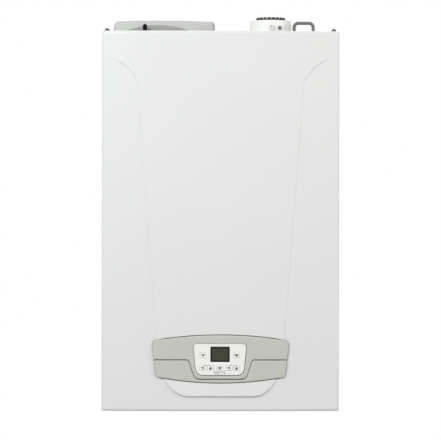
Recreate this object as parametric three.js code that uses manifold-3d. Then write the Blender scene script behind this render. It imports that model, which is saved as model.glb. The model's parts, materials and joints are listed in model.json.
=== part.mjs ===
// Wall-hung condensing gas boiler, built in millimetres with +Z up.
// The pieces are drawn from the casing's bottom edge (z) and the wall (y, front towards -Y), and one
// outer group moves them so that the origin is the middle of the hanging rail's wall side.
import * as THREE from 'three';
import { mergeVertices } from 'three/addons/utils/BufferGeometryUtils.js';
import Module from 'manifold-3d';

const wasm = await Module();
wasm.setup();

// Fits
const seatGap = 0.3;
const runGap = 0.6;
const workGap = 8;
const overrun = 6;
const weldGap = 0.03;

// Facets round turned and bent pieces
const wideSides = 36;
const roundSides = 24;
const mediumSides = 14;
const smallSides = 10;
const hexagon = 6;

// Casing
const casingWidth = 450;
const casingHeight = 720;
const sheet = 1.2;
const flangeWidth = 14;
const coverReturn = 47.5;
const coverBow = 8;
const coverEdgeRadius = 5;
const coverLip = 8;
const shieldRise = 1.6;
const sealThickness = 2;
const sealWidth = 9;
const bottomPanelHeight = 50;
const bottomLip = 15;

// Wall fixing
const railLength = 380;
const railHeight = 45;
const railThickness = 2.5;
const railDrop = 62;
const hookWidth = 26;
const hookLip = 9;
const hookShelf = 3;
const wallRestHeight = 30;

// Layers from the wall to the cover
const vesselDepth = 89;
const drumDepth = 150;
const doorThickness = 8;
const ductDepth = 30;
const frontClearance = 45;

const half = casingWidth / 2;
const wallInner = half - sheet;
const backFace = -(railThickness + seatGap + sheet);
const hookFront = backFace - seatGap - hookShelf;
const vesselBack = hookFront - seatGap;
const vesselFront = vesselBack - vesselDepth;
const drumBack = vesselFront - workGap;
const drumFront = drumBack - drumDepth;
const doorBack = drumFront - seatGap;
const doorFront = doorBack - doorThickness;
const ductFront = doorFront - ductDepth;
const coverFront = ductFront - frontClearance;
const coverBack = coverFront + coverReturn;
const sideFront = coverBack + seatGap + sealThickness + seatGap;
const railMiddle = casingHeight - railDrop;
const panelFloor = bottomPanelHeight + sheet;

// Solids
function solid(geometry) {
  const bare = geometry.clone();
  bare.deleteAttribute('normal');
  bare.deleteAttribute('uv');
  const merged = mergeVertices(bare);
  const index = merged.index.array;
  const faces = [];
  for (let i = 0; i < index.length; i += 3) {
    const [a, b, c] = [index[i], index[i + 1], index[i + 2]];
    if (a !== b && b !== c && c !== a) faces.push(a, b, c);
  }
  const mesh = new wasm.Mesh({
    numProp: 3,
    vertProperties: new Float32Array(merged.attributes.position.array),
    triVerts: new Uint32Array(faces),
  });
  return new wasm.Manifold(mesh);
}

function join(first, ...others) {
  return others.reduce((whole, piece) => whole.add(piece), first);
}

function cut(first, ...others) {
  return others.reduce((rest, piece) => rest.subtract(piece), first);
}

// A block between two corners, in any order.
function block(x0, x1, y0, y1, z0, z1) {
  const geometry = new THREE.BoxGeometry(Math.abs(x1 - x0), Math.abs(y1 - y0), Math.abs(z1 - z0));
  geometry.translate((x0 + x1) / 2, (y0 + y1) / 2, (z0 + z1) / 2);
  return solid(geometry);
}

const alongX = (geometry) => geometry.rotateZ(-Math.PI / 2);
const alongZ = (geometry) => geometry.rotateX(Math.PI / 2);
const towardsFront = (geometry) => geometry.rotateX(Math.PI);

// A turned form: the profile's points are radius and distance along the axis.
function turned(profile, sides, turnTo, at) {
  const points = profile.map(([radius, along]) => new THREE.Vector2(radius, along));
  const geometry = turnTo(new THREE.LatheGeometry(points, sides));
  geometry.translate(...at);
  return solid(geometry);
}

function rod(radius, from, to, sides, turnTo, at) {
  return turned([[0, from], [radius, from], [radius, to], [0, to]], sides, turnTo, at);
}

// A plate whose outline is drawn in x and z, reaching from y = back forward to y = front.
function frontPlate(shape, back, front, segments = 8) {
  const geometry = new THREE.ExtrudeGeometry(shape, {
    depth: back - front, bevelEnabled: false, curveSegments: segments,
  });
  geometry.rotateX(Math.PI / 2);
  geometry.translate(0, back, 0);
  return solid(geometry);
}

// A plate whose outline is drawn in x and y, reaching up from z = low to z = high.
function floorPlate(shape, low, high, segments = 8) {
  const geometry = new THREE.ExtrudeGeometry(shape, {
    depth: high - low, bevelEnabled: false, curveSegments: segments,
  });
  geometry.translate(0, 0, low);
  return solid(geometry);
}

function outline(points) {
  return new THREE.Shape(points.map(([x, y]) => new THREE.Vector2(x, y)));
}

// A rectangle with rounded corners round the middle (x, y).
function roundedRect(x, y, width, height, radius) {
  const shape = new THREE.Shape();
  const [w, h] = [width / 2 - radius, height / 2 - radius];
  shape.absarc(x + w, y + h, radius, 0, Math.PI / 2);
  shape.absarc(x - w, y + h, radius, Math.PI / 2, Math.PI);
  shape.absarc(x - w, y - h, radius, Math.PI, Math.PI * 1.5);
  shape.absarc(x + w, y - h, radius, Math.PI * 1.5, Math.PI * 2);
  return shape;
}

function circle(x, y, radius) {
  return new THREE.Shape().absarc(x, y, radius, 0, Math.PI * 2);
}

// The outline's points moved outwards by one amount, with mitred corners.
function grown(points, amount) {
  const turn = THREE.ShapeUtils.area(points) > 0 ? 1 : -1;
  return points.map((point, i) => {
    const before = points[(i + points.length - 1) % points.length];
    const after = points[(i + 1) % points.length];
    const a = point.clone().sub(before).normalize();
    const b = after.clone().sub(point).normalize();
    const normalA = new THREE.Vector2(a.y, -a.x).multiplyScalar(turn);
    const normalB = new THREE.Vector2(b.y, -b.x).multiplyScalar(turn);
    const middle = normalA.clone().add(normalB).normalize();
    return point.clone().addScaledVector(middle, amount / middle.dot(normalA));
  });
}

function pointsOf(shape, segments) {
  const points = shape.getPoints(segments);
  const apart = (a, b) => a.distanceTo(b) > weldGap;
  return points.filter((point, i) => apart(point, points[(i + points.length - 1) % points.length]));
}

// A pipe through the given points, its corners rounded to one bend radius.
function pipe(points, radius, bore, bend, sides = 8, cornerSteps = 3) {
  const corners = points.map((point) => new THREE.Vector3(...point));
  const path = new THREE.CurvePath();
  let from = corners[0];
  for (let i = 1; i < corners.length - 1; i += 1) {
    const back = corners[i - 1].clone().sub(corners[i]);
    const on = corners[i + 1].clone().sub(corners[i]);
    const reach = Math.min(bend, back.length() / 2, on.length() / 2);
    const start = corners[i].clone().addScaledVector(back.normalize(), reach);
    const end = corners[i].clone().addScaledVector(on.normalize(), reach);
    if (start.distanceTo(from) > seatGap) path.add(new THREE.LineCurve3(from, start));
    path.add(new THREE.QuadraticBezierCurve3(start, corners[i], end));
    from = end;
  }
  path.add(new THREE.LineCurve3(from, corners[corners.length - 1]));
  const places = [];
  for (const curve of path.curves) {
    const steps = curve.isLineCurve3 ? 1 : cornerSteps;
    for (let s = places.length ? 1 : 0; s <= steps; s += 1) places.push(curve.getPoint(s / steps));
  }
  return swept(places, radius, bore, sides);
}

// A round tube or bar swept along places; a bore of zero leaves it solid.
function swept(places, radius, bore, sides) {
  const route = new THREE.Curve();
  route.getPoint = (t) => {
    const at = Math.min(t * (places.length - 1), places.length - 1 - 1e-9);
    const low = Math.floor(at);
    return places[low].clone().lerp(places[low + 1], at - low);
  };
  route.getPointAt = route.getPoint;
  route.getTangentAt = (t) => {
    const near = Math.round(t * (places.length - 1));
    const before = places[Math.max(near - 1, 0)];
    const after = places[Math.min(near + 1, places.length - 1)];
    return after.clone().sub(before).normalize();
  };
  route.getTangent = route.getTangentAt;
  route.getSpacedPoints = () => places.map((place) => place.clone());
  const along = (size) => {
    const section = outline(pointsOf(circle(0, 0, size), sides / 2).map((p) => [p.x, p.y]));
    return solid(new THREE.ExtrudeGeometry(section, { steps: places.length - 1, extrudePath: route }));
  };
  return bore ? along(radius).subtract(along(bore)) : along(radius);
}

// The casing's plan outline: straight sides, rounded front edges and a bowed front.
function planOutline(width, front, back, radius, bow, steps = 14) {
  const side = width / 2;
  const places = [[side, back], [-side, back]];
  const bowAt = (x) => front + bow * (x / half) ** 2;
  const cornerY = bowAt(side - radius) + radius;
  for (let i = 0; i < 5; i += 1) {
    const angle = Math.PI + (Math.PI / 2) * (i / 4);
    places.push([-side + radius + radius * Math.cos(angle), cornerY + radius * Math.sin(angle)]);
  }
  for (let i = 1; i < steps; i += 1) {
    const x = THREE.MathUtils.lerp(radius - side, side - radius, i / steps);
    places.push([x, bowAt(x)]);
  }
  for (let i = 0; i < 5; i += 1) {
    const angle = Math.PI * 1.5 + (Math.PI / 2) * (i / 4);
    places.push([side - radius + radius * Math.cos(angle), cornerY + radius * Math.sin(angle)]);
  }
  return places;
}

// A solid through plan outlines stacked at rising heights.
function stacked(rings) {
  const count = rings[0].points.length;
  const positions = [];
  for (const ring of rings) for (const [x, y] of ring.points) positions.push(x, y, ring.z);
  const index = [];
  for (let r = 0; r < rings.length - 1; r += 1) {
    for (let i = 0; i < count; i += 1) {
      const [a, b] = [r * count + i, r * count + ((i + 1) % count)];
      index.push(a, b, b + count, a, b + count, a + count);
    }
  }
  const flat = rings[0].points.map(([x, y]) => new THREE.Vector2(x, y));
  const top = (rings.length - 1) * count;
  for (const [a, b, c] of THREE.ShapeUtils.triangulateShape(flat, [])) {
    index.push(a, c, b, top + a, top + b, top + c);
  }
  const geometry = new THREE.BufferGeometry();
  geometry.setAttribute('position', new THREE.Float32BufferAttribute(positions, 3));
  geometry.setIndex(index);
  return solid(geometry);
}

// A bowed solid like the cover's, with its front's upper and lower edges rounded off.
function bowedTray(width, low, high, front, back, radius) {
  const rings = [];
  const quarter = [0, 1 / 3, 2 / 3, 1];
  const ringAt = (z, inset) => ({ z, points: planOutline(width, front + inset, back, radius, coverBow) });
  for (const share of quarter) {
    const angle = (share * Math.PI) / 2;
    rings.push(ringAt(low + radius * (1 - Math.cos(angle)), radius * (1 - Math.sin(angle))));
  }
  for (const share of quarter.toReversed()) {
    const angle = (share * Math.PI) / 2;
    rings.push(ringAt(high - radius * (1 - Math.cos(angle)), radius * (1 - Math.sin(angle))));
  }
  return stacked(rings);
}

// A layer of the bowed front, between two depths, wide enough to be cut to any outline.
function bowedLayer(front, back, low, high) {
  const side = half - coverEdgeRadius;
  const steps = 18;
  const places = [];
  for (let i = 0; i <= steps; i += 1) {
    const x = THREE.MathUtils.lerp(side, -side, i / steps);
    places.push([x, back + coverBow * (x / half) ** 2]);
  }
  for (let i = 0; i <= steps; i += 1) {
    const x = THREE.MathUtils.lerp(-side, side, i / steps);
    places.push([x, front + coverBow * (x / half) ** 2]);
  }
  return stacked([{ z: low, points: places }, { z: high, points: places }]);
}

// Scene graph
const boiler = new THREE.Group();
const body = new THREE.Group();
body.position.set(0, 0, -railMiddle);
boiler.add(body);

const finishes = {
  whiteEnamel: { color: 0xeceeec, roughness: 0.35, metalness: 0 },
  zincSteel: { color: 0xb9bcbc, roughness: 0.45, metalness: 0.9 },
  darkZinc: { color: 0x55585a, roughness: 0.5, metalness: 0.8 },
  greyPlastic: { color: 0xc2c3be, roughness: 0.5, metalness: 0 },
  whitePlastic: { color: 0xe9ebe9, roughness: 0.4, metalness: 0 },
  blackPlastic: { color: 0x1d1e1f, roughness: 0.55, metalness: 0 },
  darkPlastic: { color: 0x747572, roughness: 0.6, metalness: 0 },
  rubber: { color: 0x26272a, roughness: 0.85, metalness: 0 },
  glass: { color: 0x41453a, roughness: 0.12, metalness: 0 },
  circuit: { color: 0x2f5a3c, roughness: 0.6, metalness: 0 },
  greyEnamel: { color: 0xcecece, roughness: 0.5, metalness: 0 },
  castAluminium: { color: 0xa9adb0, roughness: 0.55, metalness: 0.9 },
  stainless: { color: 0xc4c6c6, roughness: 0.3, metalness: 1 },
  copper: { color: 0xb87348, roughness: 0.35, metalness: 1 },
  brass: { color: 0xc9a65a, roughness: 0.35, metalness: 1 },
  redPlastic: { color: 0xb0352c, roughness: 0.5, metalness: 0 },
};

function add(name, shape, finish) {
  const { vertProperties, triVerts, numProp } = shape.getMesh();
  const geometry = new THREE.BufferGeometry();
  const places = new Float32Array((vertProperties.length / numProp) * 3);
  for (let i = 0; i < places.length; i += 1) {
    places[i] = vertProperties[Math.floor(i / 3) * numProp + (i % 3)];
  }
  geometry.setAttribute('position', new THREE.BufferAttribute(places, 3));
  geometry.setIndex(new THREE.BufferAttribute(new Uint32Array(triVerts), 1));
  geometry.computeVertexNormals();
  const mesh = new THREE.Mesh(geometry, new THREE.MeshStandardMaterial(finishes[finish]));
  mesh.name = name;
  body.add(mesh);
}

// Hanging rail and back panel
function hangingRail() {
  const strip = block(-railLength / 2, railLength / 2, 0, -railThickness,
    railMiddle - railHeight / 2, railMiddle + railHeight / 2);
  const hooks = [-1, 1].map((side) => {
    const x = (side * railLength) / 4;
    const [x0, x1] = [x - hookWidth / 2, x + hookWidth / 2];
    return join(
      block(x0, x1, -railThickness / 2, hookFront, railMiddle, railMiddle + hookShelf),
      block(x0, x1, hookFront, hookFront + hookShelf, railMiddle, railMiddle + hookShelf + hookLip),
    );
  });
  return join(strip, ...hooks);
}

const sideLift = 2;
const wallRestDrop = 62;
const wallRestHalf = 150;

function backPanel() {
  const top = casingHeight - sheet - seatGap;
  const plate = block(-half + seatGap, half - seatGap, backFace, backFace + sheet, sideLift, top);
  const restTop = panelFloor + wallRestDrop;
  const shelf = block(-wallRestHalf, wallRestHalf, backFace, 0, restTop, restTop + sheet);
  const rest = block(-wallRestHalf, wallRestHalf, -sheet, 0, restTop - wallRestHeight, restTop + sheet);
  const slots = [-1, 1].map((side) => {
    const x = (side * railLength) / 4;
    const reach = hookWidth / 2 + runGap;
    return block(x - reach, x + reach, backFace - overrun, overrun,
      railMiddle - hookLip - runGap, railMiddle + hookShelf + seatGap);
  });
  return join(cut(plate, ...slots), shelf, rest);
}

// Side panels: a wall with a flange turned in at the back and at the front
const sideBack = backFace - seatGap;
const screwEdge = 9;
const screwX = half - screwEdge;
const screwTab = 10;
const tabDrop = 0.5;
const tabThickness = 1.2;
const tabReach = 14;
const tabLow = casingHeight - sheet - tabDrop - tabThickness;

function sidePanel(side) {
  const profile = outline([
    [half, sideBack], [half - flangeWidth, sideBack], [half - flangeWidth, sideBack - sheet],
    [wallInner, sideBack - sheet], [wallInner, sideFront + sheet],
    [half - flangeWidth, sideFront + sheet], [half - flangeWidth, sideFront], [half, sideFront],
  ].map(([x, y]) => [side * x, y]));
  const panel = floorPlate(profile, sideLift, casingHeight - sheet - seatGap);
  const tabRoom = block(0, side * (half - seatGap), sideFront - overrun, sideFront + overrun,
    tabLow - seatGap * 2, casingHeight);
  return cut(panel, tabRoom);
}

// Flue turret, vent hose and vessel places, which the top panel is cut for
const turretXShare = 0.4533;
const turretX = turretXShare * half;
const portInset = 5.4;
const turretRadius = 40.7;
const turretHeight = 34;
const turretFlangeWidth = 1.8;
const turretFlange = turretRadius + turretFlangeWidth;
const turretFlangeThickness = 3;
const flueRadius = 30;
const flueWall = 1.2;
const turretY = drumBack - portInset - flueRadius;
const sealOuter = 28.5;
const sealInner = 24;
const flueSealHeight = 6.3;
const sealSeatDrop = 1;
const hoseRadius = 3.2;
const hoseWall = 1;
const hoseSpan = 37.4;
const hoseBend = 8;
const hoseClearance = 1.9;
const hoseSet = 10;
const hoseY = turretY - hoseSet;
const hoseInnerX = turretX + turretRadius + hoseClearance + hoseRadius;
const hoseOuterX = hoseInnerX + hoseSpan;
const vesselWidth = 203;
const vesselHeight = 505;
const vesselRise = 43.3;
const vesselSideGap = 1.5;
const vesselLeft = -half + flangeWidth + vesselSideGap;
const vesselRight = vesselLeft + vesselWidth;
const vesselTop = casingHeight + vesselRise;
const valveReach = 13.4;
const valveCapRadius = 4.6;
const valveY = vesselFront - valveReach;
const topCutFront = valveY - valveCapRadius * 2;

function topPanel() {
  const low = casingHeight - sheet;
  const front = coverBack + seatGap;
  const plate = block(-half, half, front, sideBack + sheet, low, casingHeight);
  const tabs = [-1, 1].map((side) => {
    const [x0, x1] = [side * screwX - screwTab, Math.min(side * screwX + screwTab, wallInner - runGap)];
    const left = Math.max(x0, -wallInner + runGap);
    return join(
      block(left, x1, front + tabReach, front - tabReach, tabLow, tabLow + tabThickness),
      block(left, x1, front + tabReach, front + seatGap, tabLow, low + sheet / 2),
    );
  });
  const screwHoles = [-1, 1].map((side) => rod(screwShank + seatGap, -overrun, overrun, mediumSides, alongZ,
    [side * screwX, screwY, tabLow]));
  const vesselRoom = block(vesselLeft - runGap * 2, vesselRight + runGap * 2, topCutFront, overrun,
    low - overrun, casingHeight + overrun);
  const rounds = [
    [turretX, turretY, flueRadius + runGap * 2, wideSides],
    [hoseInnerX, hoseY, hoseRadius + runGap, mediumSides],
    [hoseOuterX, hoseY, hoseRadius + runGap, mediumSides],
  ].map(([x, y, radius, sides]) => rod(radius, -overrun, overrun, sides, alongZ, [x, y, casingHeight]));
  return cut(join(plate, ...tabs), vesselRoom, ...rounds, ...screwHoles);
}

// Cover screws: a slotted hexagon on a broad flange above the cover, and a shank through its slot
const screwHead = 4.75;
const screwHeadHeight = 6.5;
const screwFlange = 2.4;
const screwHexagon = 3.4;
const screwShank = 2;
const screwInset = 7.5;
const screwY = coverBack - screwInset;
const screwSlot = 1.2;
const screwSlopeShare = 0.6;

function coverScrew(side) {
  const at = [side * screwX, screwY, 0];
  const seat = casingHeight + seatGap;
  const top = seat + screwHeadHeight;
  const flangeTop = seat + screwFlange;
  const flange = turned([
    [0, tabLow], [screwShank, tabLow], [screwShank, seat], [screwHead, seat],
    [screwHead, seat + screwFlange * screwSlopeShare], [screwHexagon, flangeTop], [0, flangeTop],
  ], mediumSides, alongZ, at);
  const head = rod(screwHexagon, seat + screwFlange / 2, top, hexagon, alongZ, at);
  const x = side * screwX;
  const slot = block(x - screwHead, x + screwHead, screwY - screwSlot / 2, screwY + screwSlot / 2,
    top - screwSlot, top + overrun);
  return cut(join(flange, head), slot);
}

// Bottom panel: a shelf with turned-down lips, cut for every pipe and knob that passes it
const pipePitch = 65;
const pipeRadius = 11;
const pipeEnd = 8;
const unionRadius = 16;
const unionHeight = 16;
const manifoldGap = 28.4;
const manifoldDepth = 50;
const manifoldY = vesselFront - manifoldGap - manifoldDepth / 2;
const gaugeRadius = 21;
const gaugeXShare = 2.3;
const gaugeX = -pipePitch * gaugeXShare;
const gaugeY = -238;
const gaugeDepth = 22;
const knobRadius = 14;
const betweenPipesShare = 1.5;
const fillingX = pipePitch * betweenPipesShare;
const fillingStem = 4;
const trapRadius = 24;
const trapOutlet = 11;
const trapSideGap = 9;
const trapX = wallInner - trapSideGap - trapRadius;
const trapWallGap = 30;
const trapY = backFace - trapWallGap - trapRadius;
const bracketX = 30;
const pipeXs = [-2, -1, 0, 1, 2].map((step) => step * pipePitch);

function bottomPanel() {
  const side = wallInner - seatGap;
  const [back, front] = [sideBack - sheet - seatGap, sideFront + sheet + seatGap];
  const shelf = block(-side, side, front, back, bottomPanelHeight, panelFloor);
  const lips = [
    block(-side, side, front, front + sheet, bottomPanelHeight - bottomLip, panelFloor),
    block(-side, side, back - sheet, back, bottomPanelHeight - bottomLip, panelFloor),
  ];
  const rounds = [
    ...pipeXs.map((x) => [x, manifoldY, pipeRadius + runGap * 2]),
    [gaugeX, gaugeY, gaugeRadius + runGap],
    [fillingX, manifoldY, fillingStem + runGap],
    [trapX, trapY, trapOutlet + runGap * 2],
  ].map(([x, y, radius]) => rod(radius, -overrun, overrun, roundSides, alongZ, [x, y, bottomPanelHeight]));
  return cut(join(shelf, ...lips), ...rounds);
}

// Seal: a foam strip on the casing's front edge, up one side, across and down the other
function coverSeal() {
  const outer = half - seatGap * 4;
  const inner = outer - sealWidth;
  const top = tabLow - seatGap * 2;
  const [back, front] = [sideFront - seatGap, sideFront - seatGap - sealThickness];
  const low = bottomPanelHeight - bottomLip;
  return cut(
    block(-outer, outer, front, back, low, top),
    block(-inner, inner, front - overrun, back + overrun, low - overrun, top - sealWidth),
  );
}

// Front cover outlines, in millimetres from the middle line and from the bottom edge
const shieldFootHalf = 122;
const shieldFootHeight = 142;
const shieldNeckHalf = 157;
const shieldNeckDrop = 99;
const shieldNeckHeight = casingHeight - shieldNeckDrop;
const shieldBandDrop = 52;
const shieldBandHeight = casingHeight - shieldBandDrop;
const chinHalf = 104.5;
const chinTop = 57.4;
const chinFlatHalf = 62;
const chinBottom = 26.8;
const shoulderShare = 0.31;
const chinCornerShare = 0.44;

function shieldShape() {
  const shape = new THREE.Shape();
  const edge = half + overrun;
  const shoulder = shieldNeckHalf + (half - shieldNeckHalf) * shoulderShare;
  const corner = chinHalf - (chinHalf - chinFlatHalf) * chinCornerShare;
  shape.moveTo(edge, casingHeight + overrun);
  shape.lineTo(-edge, casingHeight + overrun);
  shape.lineTo(-edge, shieldBandHeight);
  shape.lineTo(-half, shieldBandHeight);
  shape.quadraticCurveTo(-shoulder, shieldBandHeight, -shieldNeckHalf, shieldNeckHeight);
  shape.lineTo(-shieldFootHalf, shieldFootHeight);
  shape.lineTo(-chinHalf, chinTop);
  shape.quadraticCurveTo(-corner, chinBottom, -chinFlatHalf, chinBottom);
  shape.lineTo(chinFlatHalf, chinBottom);
  shape.quadraticCurveTo(corner, chinBottom, chinHalf, chinTop);
  shape.lineTo(shieldFootHalf, shieldFootHeight);
  shape.lineTo(shieldNeckHalf, shieldNeckHeight);
  shape.quadraticCurveTo(shoulder, shieldBandHeight, half, shieldBandHeight);
  shape.lineTo(edge, shieldBandHeight);
  return shape;
}

// Control fascia outlines
const fasciaTopHalf = 129;
const fasciaFootHalf = 123;
const fasciaCorner = 13;
const footCornerShare = 0.55;
const fasciaSideTop = 128;
const fasciaSideFoot = 71.7;
const fasciaTop = 144;
const fasciaTopSide = 135.4;
const fasciaBottom = 53.8;
const fasciaBottomSide = 63.4;
const faceY = coverFront - shieldRise;
const fasciaLift = 0.8;
const fasciaThickness = 1.8;
const cutoutGap = 1.2;

function fasciaShape() {
  const shape = new THREE.Shape();
  const topFlat = fasciaTopHalf - fasciaCorner;
  const footFlat = fasciaFootHalf - fasciaCorner * footCornerShare;
  shape.moveTo(topFlat, fasciaTopSide);
  shape.quadraticCurveTo(0, fasciaTop * 2 - fasciaTopSide, -topFlat, fasciaTopSide);
  shape.quadraticCurveTo(-fasciaTopHalf, fasciaTopSide, -fasciaTopHalf, fasciaSideTop);
  shape.lineTo(-fasciaFootHalf, fasciaSideFoot);
  shape.quadraticCurveTo(-fasciaFootHalf, fasciaBottomSide, -footFlat, fasciaBottomSide);
  shape.quadraticCurveTo(0, fasciaBottom * 2 - fasciaBottomSide, footFlat, fasciaBottomSide);
  shape.quadraticCurveTo(fasciaFootHalf, fasciaBottomSide, fasciaFootHalf, fasciaSideFoot);
  shape.lineTo(fasciaTopHalf, fasciaSideTop);
  shape.quadraticCurveTo(fasciaTopHalf, fasciaTopSide, topFlat, fasciaTopSide);
  return shape;
}

const fasciaOutline = pointsOf(fasciaShape(), 10);
const shieldOutline = pointsOf(shieldShape(), 8);
const plateShape = (points) => new THREE.Shape(points);

// Front cover: a pressed tray with a raised field, a lip round its back edge and one cut-out
function frontCover() {
  const deep = coverFront - overrun * 2;
  const outer = bowedTray(casingWidth, 0, casingHeight, coverFront, coverBack, coverEdgeRadius);
  const raised = bowedTray(casingWidth, 0, casingHeight, faceY, coverBack, coverEdgeRadius)
    .intersect(frontPlate(plateShape(shieldOutline), coverBack, deep));
  const inner = casingWidth - sheet * 2;
  const innerRadius = coverEdgeRadius - sheet;
  const hollow = bowedTray(inner, sheet, casingHeight - sheet, coverFront + sheet, coverBack + overrun,
    innerRadius);
  const behindRaised = bowedTray(inner, sheet, casingHeight - sheet, faceY + sheet, coverBack + overrun,
    innerRadius).intersect(frontPlate(plateShape(grown(shieldOutline, -sheet)), coverBack, deep));
  const opening = frontPlate(plateShape(grown(fasciaOutline, cutoutGap)), coverBack - overrun, deep);
  const lipSide = wallInner - coverLip;
  const lip = cut(
    block(-wallInner, wallInner, coverBack - sheet, coverBack, sheet / 2, casingHeight - sheet / 2),
    block(-lipSide, lipSide, coverBack - overrun, coverBack + overrun, sheet + coverLip,
      casingHeight - sheet - coverLip),
  );
  const slots = [-1, 1].map((side) => {
    const x = side * screwX;
    const reach = screwShank + runGap;
    const [low, high] = [tabLow - seatGap, casingHeight - sheet];
    const tabSide = Math.min(screwX + screwTab + runGap, wallInner);
    return join(
      block(x - reach, x + reach, screwY, coverBack + overrun, high - overrun / 3, casingHeight + overrun),
      rod(reach, -overrun / 3, overrun, mediumSides, alongZ, [x, screwY, high]),
      block(side * (screwX - screwTab - runGap), side * tabSide, coverBack - overrun,
        coverBack + overrun, low, high),
    );
  });
  return cut(join(outer, raised).subtract(hollow).subtract(behindRaised).add(lip), opening, ...slots);
}

// Lower trim and keypad outlines on the fascia
const grooveHeight = 96.4;
const tongueTopHalf = 62;
const tongueFootHalf = 50.2;
const tongueFoot = 64.6;
const tongueFlatHalf = 42.5;
const tongueBottom = 59.6;
const grooveGap = 1;
const keypadTopHalf = 50.2;
const keypadFootHalf = 44;
const keypadTop = 127.6;
const keypadBottom = 67.4;
const keypadCorner = 7;
const keypadX = -1;
const keypadLift = 0.5;
const keypadDepth = 3;
const fasciaFront = faceY - fasciaLift - fasciaThickness;
const fasciaBack = faceY - fasciaLift;
const keypadFront = fasciaFront - keypadLift;

// The part of the fascia under the groove, which steps down round the keypad.
function trimOutline() {
  const edge = fasciaTopHalf + overrun;
  return outline([
    [-edge, grooveHeight], [-tongueTopHalf, grooveHeight], [-tongueFootHalf, tongueFoot],
    [-tongueFlatHalf, tongueBottom], [tongueFlatHalf, tongueBottom], [tongueFootHalf, tongueFoot],
    [tongueTopHalf, grooveHeight], [edge, grooveHeight], [edge, 0], [-edge, 0],
  ]);
}

function keypadShape() {
  const shape = new THREE.Shape();
  const [left, right] = [keypadX - keypadTopHalf, keypadX + keypadTopHalf];
  const [footLeft, footRight] = [keypadX - keypadFootHalf, keypadX + keypadFootHalf];
  shape.moveTo(right - keypadCorner, keypadTop);
  shape.lineTo(left + keypadCorner, keypadTop);
  shape.quadraticCurveTo(left, keypadTop, left, keypadTop - keypadCorner);
  shape.lineTo(footLeft, keypadBottom + keypadCorner);
  shape.quadraticCurveTo(footLeft, keypadBottom, footLeft + keypadCorner, keypadBottom);
  shape.lineTo(footRight - keypadCorner, keypadBottom);
  shape.quadraticCurveTo(footRight, keypadBottom, footRight, keypadBottom + keypadCorner);
  shape.lineTo(right, keypadTop - keypadCorner);
  shape.quadraticCurveTo(right, keypadTop, right - keypadCorner, keypadTop);
  return shape;
}

const keypadOutline = pointsOf(keypadShape(), 5);
const fasciaLayer = () => bowedLayer(fasciaFront, fasciaBack, 0, casingHeight / 2);
const fasciaPrism = () => frontPlate(plateShape(fasciaOutline), coverBack, keypadFront - overrun);

function controlFascia() {
  const below = grown(pointsOf(trimOutline(), 1), grooveGap);
  return cut(
    fasciaLayer().intersect(fasciaPrism()),
    frontPlate(plateShape(below), coverBack, keypadFront - overrun),
    frontPlate(plateShape(grown(keypadOutline, seatGap)), coverBack, keypadFront - overrun),
  );
}

function fasciaLowerTrim() {
  return fasciaLayer().intersect(fasciaPrism())
    .intersect(frontPlate(trimOutline(), coverBack, keypadFront - overrun));
}

// Display and keys
const displayX = -0.7;
const displayZ = 107.8;
const displayWidth = 35.8;
const displayHeight = 28.2;
const displayDepth = 4;
const displayLift = 0.3;
const displayRadius = 1;
const keyWidth = 12;
const keyHeight = 9;
const keyRadius = 1.6;
const keyLift = 1.3;
const keyStemRadius = 2.2;
const keyTravel = 1;
const keyFlange = 1;
const keyFlangeDepth = 1;
const upperKeyZ = 106.6;
const lowerKeyZ = 82;
// Each key's place across the keypad, as a share of its half width, and its row.
const keyShares = [
  ['button_mode', -0.631, upperKeyZ],
  ['button_reset', 0.624, upperKeyZ],
  ['button_heating_minus', -0.643, lowerKeyZ],
  ['button_heating_plus', -0.347, lowerKeyZ],
  ['button_menu', -0.006, lowerKeyZ],
  ['button_hot_water_minus', 0.345, lowerKeyZ],
  ['button_hot_water_plus', 0.631, lowerKeyZ],
];
const keys = keyShares.map(([name, share, z]) => [name, keypadX + share * keypadTopHalf, z]);
const keypadBack = keypadFront + keypadDepth;
const boardGap = keyTravel * 2;
const boardThickness = 1.6;
const boardFront = keypadBack + seatGap + keyFlangeDepth + boardGap;
const tabWidth = 24;
const tabHeight = 8;
const tabSink = 0.8;

function keypadPlate() {
  const plate = frontPlate(plateShape(keypadOutline), keypadBack, keypadFront);
  const keyHoles = keys.map(([, x, z]) => frontPlate(
    roundedRect(x, z, keyWidth + runGap * 2, keyHeight + runGap * 2, keyRadius + runGap),
    keypadBack + overrun, keypadFront - overrun, 1,
  ));
  const displayHole = frontPlate(
    roundedRect(displayX, displayZ, displayWidth + seatGap * 2, displayHeight + seatGap * 2, displayRadius),
    keypadBack + overrun, keypadFront - overrun, 3,
  );
  const serviceTab = frontPlate(
    roundedRect(keypadX, keypadBottom + tabHeight / 2, tabWidth, tabHeight, displayRadius),
    keypadFront + tabSink, keypadFront - overrun, 3,
  );
  return cut(plate, displayHole, serviceTab, ...keyHoles);
}

function displayWindow() {
  const front = keypadFront + displayLift;
  return frontPlate(roundedRect(displayX, displayZ, displayWidth, displayHeight, displayRadius),
    front + displayDepth, front, 3);
}

// A key: its cap stands proud of the plate, a flange behind keeps it in, and a stem meets the board.
function keyCap(x, z) {
  const front = keypadFront - keyLift;
  const flangeBack = keypadBack + seatGap + keyFlangeDepth;
  const cap = frontPlate(roundedRect(x, z, keyWidth, keyHeight, keyRadius), flangeBack, front, 1);
  const flange = frontPlate(
    roundedRect(x, z, keyWidth + keyFlange * 2, keyHeight + keyFlange * 2, keyRadius),
    flangeBack, keypadBack + seatGap, 1,
  );
  const stem = rod(keyStemRadius, 0, boardGap - keyTravel - seatGap, smallSides, towardsFront,
    [x, boardFront - keyTravel - seatGap, z]);
  return join(cap, flange, stem);
}

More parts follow.
